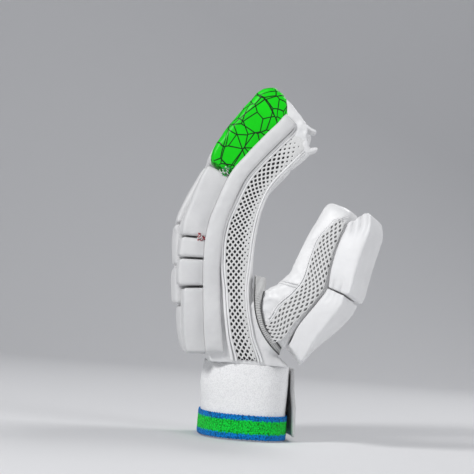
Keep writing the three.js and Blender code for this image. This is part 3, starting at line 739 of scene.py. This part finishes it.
def knit(name, striped):
    """Fine elastic knit, white or striped, with painted shade in the hollows between its loops."""
    material, tree, shader, vector = new_material(name)
    fuzz = cloud(tree, vector, 1.5, 4.0, 0.65)
    squashed = add_node(tree, "Mapping", {"Vector": vector, "Scale": (1, 1, 0.75)}).outputs["Vector"]
    loops = cells(tree, squashed, 0.95 if striped else 1.15)
    # Painted shade: the colour darkens from the middle of each loop towards the hollows between loops, strongly
    # on the striped band and faintly on the white knit.
    shade = ramp(tree, loops, ((0.3, grey(1)), (0.85, grey(0.26) if striped else grey(0.86, 0.005))))
    if striped:
        base = stripes(tree, vector, loops)
    else:
        base = ramp(tree, fuzz, ((0.3, grey(0.86, 0.005)), (0.6, grey(0.94))))
    mix = add_node(tree, "Mix", {"Factor": 1.0, "A": base, "B": shade}, data_type="RGBA", blend_type="MULTIPLY")
    depth = 1.0 if striped else 0.3
    bump(tree, shader, ((loops, 0.8, depth), (fuzz, 0.5, depth * 0.8)))
    set_inputs(tree, shader, {
        "Base Color": mix.outputs["Result"],
        "Roughness": 0.92,
        "Sheen Weight": 0.06 if striped else 0.25,
        "Specular IOR Level": 0.2,
    })
    return material


# Leather: light and dark tone, roughness, grain and coat
WHITE_LEATHER = leather("white_leather", grey(0.84), grey(0.74, 0.005), 0.46, 1.0)
# Painted shade: the pads, rolls and side bar take this darker copy of the white leather, for faces turned from
# the light; the thumb pads keep close to the full white.
SHADED_PAD_LEATHER = leather("shaded_pad_leather", grey(0.71), grey(0.63, 0.005), 0.52, 0.7, 0.04)
THUMB_LEATHER = leather("thumb_leather", grey(0.83, 0.005), grey(0.76, 0.005), 0.48, 0.6, 0.05)
WELT_LEATHER = leather("welt_leather", grey(0.6, -0.01), grey(0.4), 0.6, 1.4, 0.0)
CORD_LEATHER = leather("cord_leather", grey(0.88), grey(0.8), 0.4, 0.5, 0.1)
GREEN_LEATHER = line_pattern("green_leather")
# Fabric: light and dark tone, pitch, roughness, depth and sheen
MESH_FABRIC = fabric("mesh_fabric", grey(0.8, -0.01), grey(0.55), 0.5, 0.85, 0.12)
# Painted shade: a near-black sheet under the side net and a grey one under the thumb's stand for the shaded
# inside of the glove seen through the holes.
SHADE_BACKING = fabric("painted_shade_backing", grey(0.055, 0.005), grey(0.02, 0.002), 0.8, 0.95, 0.2, 0.05)
PALE_SHADE_BACKING = fabric("pale_shade_backing", grey(0.36), grey(0.22), 0.8, 0.95, 0.2, 0.05)
STRAP_FABRIC = fabric("strap_fabric", grey(0.72), grey(0.42), 0.6, 0.95, 0.35)
# Painted shade: near-black cords laid along the edges of the thumb's seam band stand for the shade in the gaps
# there.
SEAM_SHADOW_CORD = fabric("seam_shadow_cord", grey(0.12), grey(0.06), 0.4, 0.9, 0.1, 0.0)
THREAD = fabric("white_thread", grey(0.82), grey(0.6), 0.25, 0.8, 0.05)
GREEN_THREAD = fabric("green_thread", (0.01, 0.5, 0.06), (0.005, 0.25, 0.03), 0.25, 0.8, 0.05)
RED_THREAD = fabric("red_thread", (0.5, 0.03, 0.05), (0.25, 0.01, 0.02), 0.25, 0.8, 0.05)
WHITE_KNIT = knit("white_knit", False)
STRIPED_KNIT = knit("striped_knit", True)


# Pads and rolls
def pad_point(name, at, y_share, up):
    """A point over one column: y_share across its half width, up above the leather."""
    part = Section(name, at)
    y = part.y + y_share * (FINGER_WIDTH / 2 - PAD_INSET) * part.width
    over_hand = arch_at(y) * (1 - smoothstep(at, 1.03, 1.2))
    over_finger = arch_at(part.y) * smoothstep(at, 0.92, 1.0)
    lift = part.arch * max(over_hand, over_finger)
    return part.point(y, -(part.depth / 2 + PAD_GAP + up) - lift)


# Height share along a pad
ROLL_SHAPE = ((0.0, 0.97), (0.1, 1.0), (0.9, 1.0), (1.0, 0.97))
TIP_SHAPE = ((0.0, 0.8), (0.12, 0.9), (0.35, 0.98), (0.65, 1.06), (0.88, 1.08), (1.0, 1.04))
THUMB_SHAPE = ((0.0, 0.95), (0.15, 1.0), (0.85, 1.0), (1.0, 0.9))
# height share, and millimetres cut back from the pad's wrist end and its far end
TIP_ENDS = table(
    (0.0, 0.0, 8.0),
    (0.13, 0.0, 4.6),
    (0.28, 0.0, 1.8),
    (0.54, 0.0, 0.4),
    (0.8, 1.0, 2.2),
    (1.0, 4.0, 8.0),
)
THUMB_ENDS = table(
    (0.0, 0.0, 8.0),
    (0.3, 0.0, 4.0),
    (0.6, 0.0, -1.5),
    (0.8, 0.0, -3.0),
    (1.0, 1.0, -1.0),
)
# The leather at the index fingertip: millimetres towards the palm and past the finger's last section
HOOD_OUTLINE = (
    (-25, 7.8), (-16, 7.9), (-5, 6.4), (4, 4.8), (8, 2.2), (11.5, -2.4), (14.8, -5.0), (17.8, -5.0),
    (20.4, -7), (21.6, -11), (21.5, -20), (19.5, -31), (8, -38), (-6, -24), (-14, -8), (-24, 3.6),
)
# The fingertip's end face: millimetres towards the palm, and past the last section
TIP_FACE = (
    (-26, 8.0), (-16, 7.9), (-5, 6.6), (4, 4.8), (7.5, 2.0), (11, -2.8), (14.8, -5.2), (18, -5.4), (23, -12),
)
HOOD_MIDDLE = (4, -12)
HOOD_NOTCH = (14.8, -4.8)
# The lips: path from root to tip, thickness at the root and half the width
TIP_LIPS = {
    "tip_tab_upper": (((-1, 2.4), (4, 4.0), (8, 5.0), (12, 7.2)), 5.0, 12.4),
    "tip_tab_lower": (((17.0, -11), (19.6, -7.6), (21.2, -4.8), (22.8, -1.8)), 5.4, 12.4),
}
# Kinds of pad: what build_pad takes by name
ROLL_KIND = {"shape": ROLL_SHAPE, "radius": 2.2}
TIP_KIND = {"shape": TIP_SHAPE, "radius": 4.6, "ends": TIP_ENDS, "deeper": 2.0}
LOWER_THUMB_KIND = {"shape": THUMB_SHAPE, "radius": 1.8, "crown": 0.8, "foot": 2.0, "pleats": 1.2}
UPPER_THUMB_KIND = {**LOWER_THUMB_KIND, "ends": THUMB_ENDS, "pleats": 4.0}


def build_pad(node, place, length, width, thick, material, slot, seed, shape, radius,
              crown=1.0, foot=0.0, ends=None, deeper=0.0, pleats=0.0):
    """A cushion in leather: ends cuts it back by height, and pleats gathers its near face."""
    foot_depth = PAD_GAP + deeper
    sizes = (length, width, thick + foot_depth)
    steps = [max(6, round(size / PAD_CELL)) for size in sizes]
    box, faces, flat = rounded_box(steps, radius, sizes, foot)
    points = []
    for x, y, z in box:
        along = run = min(max(x / length + 0.5, 0.0), 1.0)
        across = 2 * y / width
        up = z + sizes[2] / 2 - foot_depth
        share = max(up, 0.0) / thick
        height = float(np.interp(along, *zip(*shape)))
        if ends is not None:
            first, last = (float(np.interp(share, ends[:, 0], ends[:, column])) for column in (1, 2))
            along += (first * (1 - smoothstep(along, 0.0, 0.4)) - last * smoothstep(along, 0.6, 1.0)) / length
        dome = (1 - across ** 2) * (1 - (2 * along - 1) ** 2)
        soft = ripple(x * 0.06 + seed * 7.1, y * 0.08, z * 0.09)
        fine = ripple(x * 0.22 + seed * 3.7, y * 0.25, z * 0.25)
        pull = math.exp(-(along * length / 4) ** 2) + math.exp(-((1 - along) * length / 4) ** 2)
        rise = up * height + share * (crown * dome + 0.45 * soft + 0.12 * fine)
        puff = math.sin(math.pi * min(share, 1.0))
        side = 0.5 * puff * (1 - (2 * along - 1) ** 4) + 0.25 * soft + 0.1 * fine * (1 + 2 * pull)
        if pleats and across < -0.6:
            gather = math.exp(-((1 - run) * length / 12) ** 2) + 0.6 * math.exp(-(run * length / 7) ** 2)
            fold = abs(math.sin(share * 10.5 + run * 4 + soft))
            side -= pleats * gather * (1 - fold) ** 2 * (1 - smoothstep(share, 0.75, 1.0))
            side -= 0.5 * pleats * gather * (1 - share)
        widen = 1 + side / (width / 2) if abs(across) > 0.7 else 1.0
        points.append(place(along, across * widen, rise))
    obj = make(f"{node}_cover", points, faces, material, node, slot)
    layer = obj.data.uv_layers.new(name="flat")
    for loop, corner in zip(layer.data, flat):
        loop.uv = corner


def build_pads():
    seed = 0
    for name, (_, _, pads) in COLUMNS.items():
        for pad_name, start, stop, thick in pads:
            seed += 1
            tip = pad_name == "tip_pad"
            green = tip and name == "index"

            def place(along, across, up):
                return pad_point(name, start + (stop - start) * along, across, up)

            build_pad(
                f"{name}_{pad_name}", place, run_length(place, 24), FINGER_WIDTH - 2 * PAD_INSET, thick,
                GREEN_LEATHER if green else SHADED_PAD_LEATHER, "pad_green" if green else "pad_white", seed,
                **(TIP_KIND if tip else ROLL_KIND),
            )


def build_thumb_pads():
    for seed, (node, start, stop, thick) in enumerate(THUMB_PADS, 31):
        def place(along, across, up):
            part = ThumbSection(start + (stop - start) * min(along, 1.0))
            past = max(along - 1.0, 0.0) * (stop - start) * THUMB_LENGTH
            wide = across * part.width * THUMB_PAD_SPREAD / 2
            return part.point(wide, part.depth / 2 + PAD_GAP + up) + part.along * past

        kind = UPPER_THUMB_KIND if node == "thumb_upper_pad" else LOWER_THUMB_KIND
        length = run_length(place, 20)
        build_pad(node, place, length, THUMB_WIDTH, thick, THUMB_LEATHER, "pad_white", seed, **kind)


# The index side
# Piping: piece, node, column of the mesh's edges, end, then shift, radius and lift of each cord
WELTS = (
    ("welt_back_cord", "welt_back", 1, 1.95, ((-0.076, 1.15, 1.4), (-0.02, 0.95, 1.3))),
    ("welt_palm_cord", "welt_palm", 2, 1.9, ((0.018, 0.8, 1.2), (0.058, 1.0, 1.0))),
)
WELT_START = 0.03
WELT_LIMIT = 0.955


def build_bar():
    """The long padded bar beside the mesh."""
    rows = 150
    columns = 22
    start, stop = BAR_SPAN

    def pair(i, j):
        at = start + (stop - start) * i / rows
        low = read(BAR_EDGES, 1, at) - BAR_OVERHANG
        high = read(BAR_EDGES, 2, at)
        end = 1 - min(i / 8, (rows - i) / 3, 1)
        end = math.sqrt(1 - end ** 2)
        cell = (1 - math.cos(math.pi * j / columns)) / 2
        across = low + (high - low) * cell
        swell = max(0.0, math.sin(math.pi * cell)) ** BAR_SQUARENESS
        wave = ripple(at * 22, cell * 2.2, 5) + 0.5 * ripple(at * 60, cell * 5, 9)
        out = 2 * GAP + (BAR_LIFT + 0.35 * wave) * swell * (0.2 + 0.8 * end)
        return side_point(at, max(across, 0.02), GAP), side_point(at, across, out, flat=True)

    bar = make("side_bar_cover", *slab(rows, columns, pair), SHADED_PAD_LEATHER, "side_bar", "pad_white")


def build_welts():
    steps = 200
    for name, node, column, last, cords in WELTS:
        bodies = []
        for shift, radius, out in cords:
            path, radii = [], []
            for i in range(steps + 1):
                at = WELT_START + (last - WELT_START) * i / steps
                wobble = 0.2 * ripple(at * 25, shift * 40, 2)
                path.append(side_point(at, min(read(MESH_EDGES, column, at) + shift, WELT_LIMIT), out + wobble))
                radii.append(radius * min(1, 0.35 + (steps - i) / 12))
            bodies.append(tube(path, radii))
        make(name, *merged(bodies), CORD_LEATHER, node, "pad_white")


def build_net(name, node, edges, point_at, span, pitch, length_at, width_at, open_share):
    """A net of slanting holes over a strip: an eight-sided ring of strand round each hole."""
    half_across, half_along = pitch[0] / 2, pitch[1] / 2
    rows = [span[0]]
    while rows[-1] < span[1]:
        rows.append(rows[-1] + half_along / length_at(rows[-1]))
    points, faces, index = [], [], {}

    def width_of(at):
        return (read(edges, 2, at) - read(edges, 1, at)) * width_at(at)

    def place(i, j):
        row = min(max(i, 0.0), len(rows) - 1.0)
        before = int(row)
        after = min(before + 1, len(rows) - 1)
        at = rows[before] + (rows[after] - rows[before]) * (row - before)
        low, high = read(edges, 1, at), read(edges, 2, at)
        across = (low + high) / 2 + j * half_across / width_at(at)
        return point_at(at, min(max(across, low), high), NET_LIFT)

    def corner(i, j):
        key = (round(2 * i), round(2 * j))
        if key not in index:
            index[key] = len(points)
            points.append(place(i, j))
        return index[key]

    ring = ((-1, 0), (-0.5, 0.5), (0, 1), (0.5, 0.5), (1, 0), (0.5, -0.5), (0, -1), (-0.5, -0.5))
    reach = int(max(width_of(at) for at in rows) / 2 / half_across) + 2
    for i in range(1, len(rows) - 1):
        half_width = width_of(rows[i]) / 2
        for j in range(-reach, reach + 1):
            distance = half_width - abs(j) * half_across
            if (i + j) % 2 or distance < -half_across:
                continue
            around = [corner(i + di, j + dj) for di, dj in ring]
            share = open_share(rows[i], 0.5 + j * half_across / (2 * half_width))
            if distance < half_across * 0.3 or share < 0.15:
                faces.append(tuple(around))
                continue
            start = len(points)
            points.extend(place(i + di * share, j + dj * share) for di, dj in ring)
            for k in range(8):
                faces.append((around[k], around[(k + 1) % 8], start + (k + 1) % 8, start + k))
    thicken(make(name, points, faces, MESH_FABRIC, node, "mesh_white"))


def thicken(obj):
    """Turns a net of flat strands into solid round ones."""
    bm = bmesh.new()
    bm.from_mesh(obj.data)
    bmesh.ops.remove_doubles(bm, verts=bm.verts, dist=NET_MERGE * 0.001)
    bmesh.ops.dissolve_degenerate(bm, dist=NET_MERGE * 0.001, edges=bm.edges)
    loose = [v for v in bm.verts if not v.link_faces]
    bmesh.ops.delete(bm, geom=loose, context="VERTS")
    bmesh.ops.recalc_face_normals(bm, faces=bm.faces)
    bm.to_mesh(obj.data)
    bm.free()
    solidify = obj.modifiers.new("thick", "SOLIDIFY")
    solidify.thickness = NET_THICK * 0.001
    solidify.offset = 0
    subdivide(obj)
    shade_smooth(obj.data)


def side_open(at, lean):
    """Open share of a hole: less near the fingertip and towards the palm."""
    return 0.62 * (1 - 0.85 * smoothstep(at, 1.66, 1.95)) * (1 - 0.62 * smoothstep(lean, 0.6, 0.95))


# Painted shade behind the nets, as sheets of dark cloth: piece, edges, point function, span and material
SHADE_BACKINGS = (
    ("side_shade_backing", MESH_EDGES, side_point, (0.04, 1.94), SHADE_BACKING),
    ("thumb_shade_backing", THUMB_MESH_EDGES, thumb_side_point, (-0.1, 0.9), PALE_SHADE_BACKING),
)
SHADE_BACKING_CELLS = (0.02, 0.25, 0.5, 0.75, 0.98)
SHADE_BACKING_DEPTHS = (-0.7, 0.3)


def build_nets():
    """Both nets, and the sheets of painted shade that show through their holes, for the glove's inside lying in
    shade.
    """
    build_net(
        "side_net", "side_mesh", MESH_EDGES, side_point, SIDE_NET_SPAN, SIDE_NET_PITCH,
        lambda at: HAND_RISE if at < 1 else FINGER_RUN, lambda at: Section("index", at).depth, side_open,
    )
    build_net(
        "thumb_net", "thumb_mesh", THUMB_MESH_EDGES, thumb_side_point, THUMB_NET_SPAN, THUMB_NET_PITCH,
        lambda at: THUMB_RUN, lambda at: ThumbSection(at).depth, lambda at, lean: 0.52,
    )
    for name, edges, point_at, span, material in SHADE_BACKINGS:
        places = np.linspace(*span, 120)

        def pair(i, j):
            at = places[i]
            across = read(edges, 1, at) + (read(edges, 2, at) - read(edges, 1, at)) * SHADE_BACKING_CELLS[j]
            return [point_at(at, across, out) for out in SHADE_BACKING_DEPTHS]

        points, faces = slab(len(places) - 1, len(SHADE_BACKING_CELLS) - 1, pair)
        make(name, points, faces, material, None, "mesh_white")


# The leather skin
def build_skin():
    """One skin of leather over the hand, fingers and thumb, with a hood and webs that close its gaps."""
    nodes = ["hand_shell", "index_stall", "middle_stall", "ring_stall", "little_stall", "thumb_stall"]
    root = Section("index", 1.0)
    bodies = [tip_hood()]
    for k in (-1, 0, 1):
        web = [root.point(k * COLUMN_PITCH, deep) for deep in np.linspace(4, root.depth / 2 - 2.2, 6)]
        bodies.append(tube(web, WEB_RADIUS, 12))
    bm = bmesh.new()
    for node in nodes:
        bm.from_mesh(bpy.data.objects[node].data)
    bm.from_mesh(new_mesh("hood_and_webs", *merged(bodies)))
    mesh = bpy.data.meshes.new("leather_skin")
    bm.to_mesh(mesh)
    bm.free()
    obj = add_object("leather_skin", mesh)
    remesh = obj.modifiers.new("remesh", "REMESH")
    remesh.mode = "VOXEL"
    remesh.voxel_size = SKIN_CELL * 0.001
    soften(obj, 0.5, 5)
    round_thumb(obj)
    pucker(obj)
    finish_object(obj, WHITE_LEATHER)
    claim(obj, nodes, "leather_white")


def closed_curve(corners, count):
    """Smooth closed curve through the corners."""
    corners = np.array(corners, dtype=float)
    total = len(corners)
    points = []
    for i in range(count):
        k, t = divmod(i / count * total, 1)
        a, b, c, d = (corners[(int(k) + shift) % total] for shift in (-1, 0, 1, 2))
        points.append(0.5 * (2 * b + (c - a) * t + (2 * a - 5 * b + 4 * c - d) * t ** 2
                             + (3 * b - a - 3 * c + d) * t ** 3))
    return points


def tip_hood():
    """Gathered leather over the index fingertip: rings of its outline, across the finger."""
    outline = closed_curve(HOOD_OUTLINE, 96)
    middle = np.array(HOOD_MIDDLE)
    rings = [(r, 1.0 + 0.09 * (1 - r ** 3)) for r in (0.12, 0.3, 0.5, 0.7, 0.86, 0.95)]
    rings += [(1.0, w) for w in (0.93, 0.85, 0.7, 0.5, 0.25)]
    layers = [(r, -w) for r, w in rings] + [(1.0, 0.0)] + [(r, w) for r, w in reversed(rings)]
    points = []
    for r, w in layers:
        for k, corner in enumerate(outline):
            n, a = middle + (corner - middle) * r
            toward_n = n - HOOD_NOTCH[0]
            toward_a = a - HOOD_NOTCH[1]
            distance = math.hypot(toward_n, toward_a)
            fold = math.sin(math.atan2(toward_a, toward_n) * 11 + 1.5 * ripple(n * 0.1, a * 0.1, 3))
            crease = 1.1 * fold * math.exp(-distance / 16) * min(distance / 5, 1)
            rough = 0.8 * ripple(n * 0.16, a * 0.16, w * 3)
            under_net = 1 - smoothstep(a, -14, -6)
            behind_pad = 1 - smoothstep(n, -15, -8)
            side = FINGER_WIDTH / 2 * w * (1 - 0.12 * max(under_net, 1.25 * behind_pad))
            if abs(w) > 0.8:
                side += math.copysign(crease + rough, w) * (1 - under_net)
            lip = 0.7 * ripple(k * 0.2, w * 2.2, 8) if abs(w) < 0.95 else 0
            points.append(tip_point(n, a + lip * (1 if a > -8 else 0.3), side))
    return points, ring_faces(len(layers), len(outline))


def round_thumb(obj):
    """Softens the sharp corner of the thumb's tip on its grip side."""
    corner = Vector(to_metres([thumb_side_point(1.0, 0.02)])[0])
    group = obj.vertex_groups.new(name="thumb_tip")
    for vertex in obj.data.vertices:
        distance = (vertex.co.yz - corner.yz).length + 0.3 * abs(vertex.co.x - corner.x)
        if distance < 0.03:
            group.add([vertex.index], 1 - smoothstep(distance, 0.014, 0.03), "REPLACE")
    soften(obj, 0.6, 70, "thumb_tip")


def vertex_values(mesh, name):
    """Places or normals of a mesh's vertices, one in each row."""
    values = np.empty(len(mesh.vertices) * 3)
    mesh.vertices.foreach_get(name, values)
    return values.reshape(-1, 3)


def pucker(obj):
    """Flattens the fingertip's end, then wrinkles the leather, most at the fingertip and the thumb's base."""
    tip = tip_point(6, -4, -FINGER_WIDTH / 2)
    base = thumb_side_point(0.1, 0.3)
    normals = vertex_values(obj.data, "normal")
    places = vertex_values(obj.data, "co") * 1000 - HOME
    last = Section("index", 2.0)
    face = np.array(TIP_FACE)
    for place in places:
        n = np.dot(place - last.centre, last.normal)
        a = np.dot(place - last.centre, last.along)
        aside = abs(place[1] - last.y)
        if a > -16 and -27 < n < 23 and aside < 14.5:
            limit = np.interp(n, face[:, 0], face[:, 1]) - 0.06 * aside
            place -= last.along * max(a - limit, 0.0) * 0.92
    for place, normal in zip(places, normals):
        at_tip = math.exp(-(np.linalg.norm(place - tip) / 20) ** 2)
        at_base = math.exp(-(np.linalg.norm(place - base) / 26) ** 2)
        x, y, z = place
        low = ripple(x * 0.05, y * 0.05, z * 0.05)
        ridge = max(1 - abs(ripple(x * 0.13, y * 0.13, z * 0.13 + 9)) * 2.4, -0.4)
        place += normal * (0.35 * low + (0.14 + 1.3 * at_tip + 0.8 * at_base) * (ridge - 0.5))
    obj.data.vertices.foreach_set("co", ((places + HOME) * 0.001).ravel())
    obj.data.update()


def build_tabs():
    """The two loose lips of leather at the index fingertip."""
    rows = 16
    columns = 28
    for name, (path, thickness, half) in TIP_LIPS.items():
        path = np.array(path)
        places = np.linspace(0, 1, len(path))

        def pair(i, j):
            t = i / rows
            w = 2 * j / columns - 1
            reach = t * (1 - 0.06 * abs(w) ** 3 + 0.14 * ripple(w * 2.6, t, 4))
            curl = 0.7 * t * ripple(w * 3.1, 2, (i + 1) * 0.02)
            n = float(np.interp(reach, places, path[:, 0])) + curl
            a = float(np.interp(reach, places, path[:, 1])) + 0.3 * curl
            thick = thickness * (1 - 0.5 * t) * max(0.6, 1 - abs(w) ** 8)
            y = half * w * (1 - 0.12 * t ** 2)
            return tip_point(n + thick / 2, a - thick / 3, y), tip_point(n - thick / 2, a + thick / 3, y)

        subdivide(make(f"{name}_cover", *slab(rows, columns, pair), WHITE_LEATHER, name, "leather_white"))


# Cuff, band and strap
def knit_ring(name, node, slot, material, low, high, inner, outer, ribs, depth, bulge=0.0, teeth=0.0):
    """A ribbed ring of knit; bulge fills its upper part out and teeth make its edges ragged."""
    around = ribs * 4
    layers = max(8, round((high - low) / 0.8))
    outside, inside = [], []
    for i in range(layers + 1):
        z = low + (high - low) * i / layers
        edge = 0.3 * (1 - min(min(i, layers - i) / 2, 1)) ** 2
        full = math.exp(-((z / WRIST_Z - 0.72) / 0.24) ** 2)
        ragged = teeth * (1 if i == layers else -0.4 if i == 0 else 0)
        for j in range(around):
            angle = 2 * math.pi * j / around
            cosine, sine = math.cos(angle), math.sin(angle)
            rib = depth * math.cos(math.pi * (j / 2 + i % 2))
            wave = 0.35 * ripple(cosine * 1.7, sine * 1.7, z * 0.05)
            lump = 0.25 * ripple(cosine * 9, sine * 9, z * 0.2)
            grow = outer - edge + rib + wave + lump + bulge * full * (0.35 + 0.65 * max(0.0, -cosine) ** 2)
            outside.append(cuff_point(angle, z + ragged * math.cos(math.pi * j / 4), grow))
            inside.append(cuff_point(angle, z, inner))
    start = len(outside)
    faces = grid_faces(layers + 1, around, wrap=True) + grid_faces(layers + 1, around, start, wrap=True)
    for row in (0, layers * around):
        for j in range(around):
            a = row + j
            b = row + (j + 1) % around
            faces.append((a, b, b + start, a + start))
    make(name, outside + inside, faces, material, node, slot)


def build_cuff():
    knit_ring("cuff_knit", "cuff", "knit_white", WHITE_KNIT, 0, CUFF_HEIGHT + KNIT_TUCK, -CUFF_WALL, 0,
              150, 0.06, bulge=2.0)
    knit_ring("band_knit", "stripe_band", "knit_stripes", STRIPED_KNIT, BAND_FOOT, BAND_FOOT + BAND_HEIGHT,
              GAP, GAP + BAND_THICK, 170, 0.16, teeth=0.6)


def build_strap():
    """The fuzzy loose end of the closure."""
    steps = 40

    def pair(i, j):
        rise = i / steps
        share = j / steps
        angle = (STRAP_START - share * STRAP_WIDTH) / (CUFF_WIDTH / 2)
        over_band = 1 - smoothstep(rise, 0.36, 0.75)
        lift = GAP + (BAND_THICK + GAP) * over_band + 0.6 + STRAP_LIFT * share ** 2 * (1 - STRAP_LEAN * rise)
        fray = 0.25 * ripple(share * 14, rise * 18, 3)
        edge = min(share, 1 - share, rise, 1 - rise) * 25
        rounded = 0.8 * (1 - min(edge, 1.0)) ** 2
        z = STRAP_FOOT + rise * (CUFF_HEIGHT - STRAP_FOOT - GAP)
        grows = (lift + rounded + fray * 0.5, lift + STRAP_THICK + 1.2 - rounded + fray)
        return [cuff_point(angle, z, grow) for grow in grows]

    points, faces = slab(steps, steps, pair)
    make("strap_cover", points, faces, STRAP_FABRIC, "strap_flap", "strap_grey")


# Seams and threads
def build_thumb_seam():
    """The ribbed seam band round the thumb's base, with a tongue of leather at its upper end."""
    rows = 380
    columns = 14

    def pair(i, j):
        t = i / rows
        cell = j / columns
        tongue = 1 - smoothstep(t, 0.1, 0.3)
        edge = max(0.0, 1 - (2 * cell - 1) ** 4)
        ribs = 0.5 * math.sin(t * 2 * math.pi * 38) * edge
        groove = 1.1 * sum(math.exp(-((cell - middle) / 0.09) ** 2) for middle in (0.14, 0.86))
        fold = 0.78 * tongue * math.sin(cell * 9 + t * 24) * edge
        out = -1.2 + 1.8 * edge ** 0.5 + (ribs - groove) * (1 - tongue) + fold
        depth = 10.5 * tongue + 3.5 * (1 - tongue) - 2.5 * (1 - edge) * tongue
        return seam_point(t, cell, -depth), seam_point(t, cell, out * (1 - 0.7 * math.exp(-(t / 0.02))))

    make("thumb_seam_cover", *slab(rows, columns, pair), WELT_LEATHER, "thumb_welt", "leather_white")


# Tufts of thread: piece, material, (column, at, across, up), strands, reach and seed
TUFTS = (
    ("green_tack", GREEN_THREAD, ("index", 1.452, -1.08, 4.5), 18, 5.0, 3),
    ("white_tack", THREAD, ("index", 1.448, -1.08, 4.5), 14, 5.0, 5),
    ("red_tack", RED_THREAD, ("index", 0.95, -1.06, 3.4), 12, 4.0, 7),
    ("pale_tack", THREAD, ("index", 0.952, -1.06, 3.2), 12, 4.2, 9),
)


def build_seams():
    """Raised seams on the thumb's leather, and dark cords of painted shade along the edges of its seam band,
    where its gaps lie in shade.
    """
    cords = []
    places = np.linspace(0.0, 0.9, 120)
    for shift, out, radius, sides in ((0.015, 0.9, 0.75, 8), (0.06, 0.5, 0.45, 6)):
        seam = [thumb_side_point(at, read(THUMB_MESH_EDGES, 1, at) - shift, out) for at in places]
        cords.append(tube(seam, radius, sides))
    for at in (0.27, 0.298):
        cross = [thumb_side_point(at + 0.05 * t, 0.04 + 0.42 * t, 0.35) for t in np.linspace(0, 1, 40)]
        cords.append(tube(cross, 0.45, 6))
    tip = [thumb_side_point(0.9 + 0.06 * t, 0.685 + 0.27 * t, 0.9) for t in np.linspace(0, 1, 50)]
    cords.append(tube(tip, 0.6, 6))
    make("thumb_seams", *merged(cords), WHITE_LEATHER, None, "leather_white")
    # Painted shade along the seam band's edges, where its gaps lie in shade.
    lines = []
    for cell, start in ((0.06, 0.02), (0.94, 0.13)):
        lines.append(tube([seam_point(t, cell, -0.35) for t in np.linspace(start, 1.0, 160)], 0.55, 6))
    make("thumb_seam_shadow_lines", *merged(lines), SEAM_SHADOW_CORD, None, "leather_white")


def build_tufts():
    """Loose ends of thread where the pads are tacked down."""
    for name, material, where, count, reach, seed in TUFTS:
        centre = pad_point(*where)
        rng = np.random.default_rng(seed)
        strands = []
        for _ in range(count):
            turn = rng.uniform(-1, 1, 3) * np.array([1.0, 0.35, 1.0])
            start = centre + rng.uniform(-0.5, 0.5, 3) * reach * np.array([1, 0.4, 1])
            bend = rng.uniform(-1, 1, 3) * reach * 0.35
            path = [start + turn * reach * t * 0.6 + bend * math.sin(t * math.pi) for t in np.linspace(0, 1, 9)]
            strands.append(tube(path, STRAND_RADIUS, 5))
        make(name, *merged(strands), material, None, "pad_white")


# Camera, floor and light
def build_camera():
    """A camera at the photograph's angle, which frames the glove as the photograph does."""
    turn = math.radians(VIEW_TURN)
    roll = math.radians(VIEW_ROLL)
    view = np.array([math.sin(turn), math.cos(turn), 0.0])
    right = np.array([math.cos(turn), -math.sin(turn), 0.0])
    origin = right * (NEAR_SIDE * math.sin(turn)) + np.array([0.0, 0.0, VIEW_HEIGHT])
    eye = (origin + HOME) * 0.001 - view * (VIEW_DISTANCE + NEAR_SIDE * 0.001)
    dx = (PHOTO_MIDDLE - PHOTO_FOOT_X) * PIXEL
    dy = (PHOTO_FOOT_Y - PHOTO_MIDDLE) * PIXEL
    x = dx * math.cos(roll) - dy * math.sin(roll)
    z = dx * math.sin(roll) + dy * math.cos(roll) - VIEW_HEIGHT * 0.001
    ahead = view * VIEW_DISTANCE + right * x + np.array([0.0, 0.0, z])
    data = bpy.data.cameras.new("camera")
    data.sensor_width = SENSOR
    data.sensor_fit = "HORIZONTAL"
    data.lens = SENSOR * np.linalg.norm(ahead) / (PHOTO_SIZE * PIXEL)
    data.clip_start = 0.01
    camera = add_object("camera", data)
    forward = Vector(ahead).normalized()
    side = forward.cross(Vector((0, 0, 1))).normalized()
    rotation = Matrix((side, side.cross(forward), -forward)).transposed()
    camera.matrix_world = Matrix.Translation(Vector(eye)) @ (rotation @ Matrix.Rotation(roll, 3, "Z")).to_4x4()
    bpy.context.scene.camera = camera


def build_floor():
    """A pale floor that curves up into a wall behind."""
    steps = 40
    profile = [(-3.0, 0.0)]
    for i in range(steps + 1):
        angle = math.pi / 2 * i / steps
        profile.append((1.4 + 1.2 * math.sin(angle), 1.2 - 1.2 * math.cos(angle)))
    profile.append((2.6, 4.0))
    points = [(x, y, z) for y, z in profile for x in (-5.0, 5.0)]
    faces = [(2 * i, 2 * i + 1, 2 * i + 3, 2 * i + 2) for i in range(len(profile) - 1)]
    mesh = bpy.data.meshes.new("floor")
    mesh.from_pydata(points, [], faces)
    material, tree, shader, _ = new_material("floor_paint")
    set_inputs(tree, shader, {"Base Color": (0.74, 0.74, 0.75, 1), "Roughness": 0.7})
    mesh.materials.append(material)
    shade_smooth(mesh)
    add_object("floor", mesh)


# Light: place, size and power
LIGHTS = {
    "key": ((-1.25, -1.15, 1.2), 0.45, 25),
    "fill": ((1.5, -1.1, 0.7), 1.0, 9),
    "rim": ((0.9, 0.8, 1.4), 0.8, 12),
}
LIGHT_TARGET = Vector((0, 0, 0.14))


def build_lights():
    world = bpy.data.worlds.new("world")
    world.use_nodes = True
    sky = world.node_tree.nodes["Background"]
    sky.inputs["Color"].default_value = (0.9, 0.93, 1.0, 1)
    sky.inputs["Strength"].default_value = 0.27
    bpy.context.scene.world = world
    for name, (spot, size, power) in LIGHTS.items():
        data = bpy.data.lights.new(name, "AREA")
        data.shape = "DISK"
        data.size = size
        data.energy = power
        light = add_object(name, data)
        light.location = spot
        light.rotation_euler = (LIGHT_TARGET - Vector(spot)).to_track_quat("-Z", "Y").to_euler()
    bpy.context.scene.view_settings.view_transform = "Standard"


build_camera()
build_floor()
build_lights()
build_skin()
build_bar()
build_welts()
build_nets()
build_pads()
build_thumb_pads()
build_thumb_seam()
build_cuff()
build_strap()
build_tabs()
build_seams()
build_tufts()
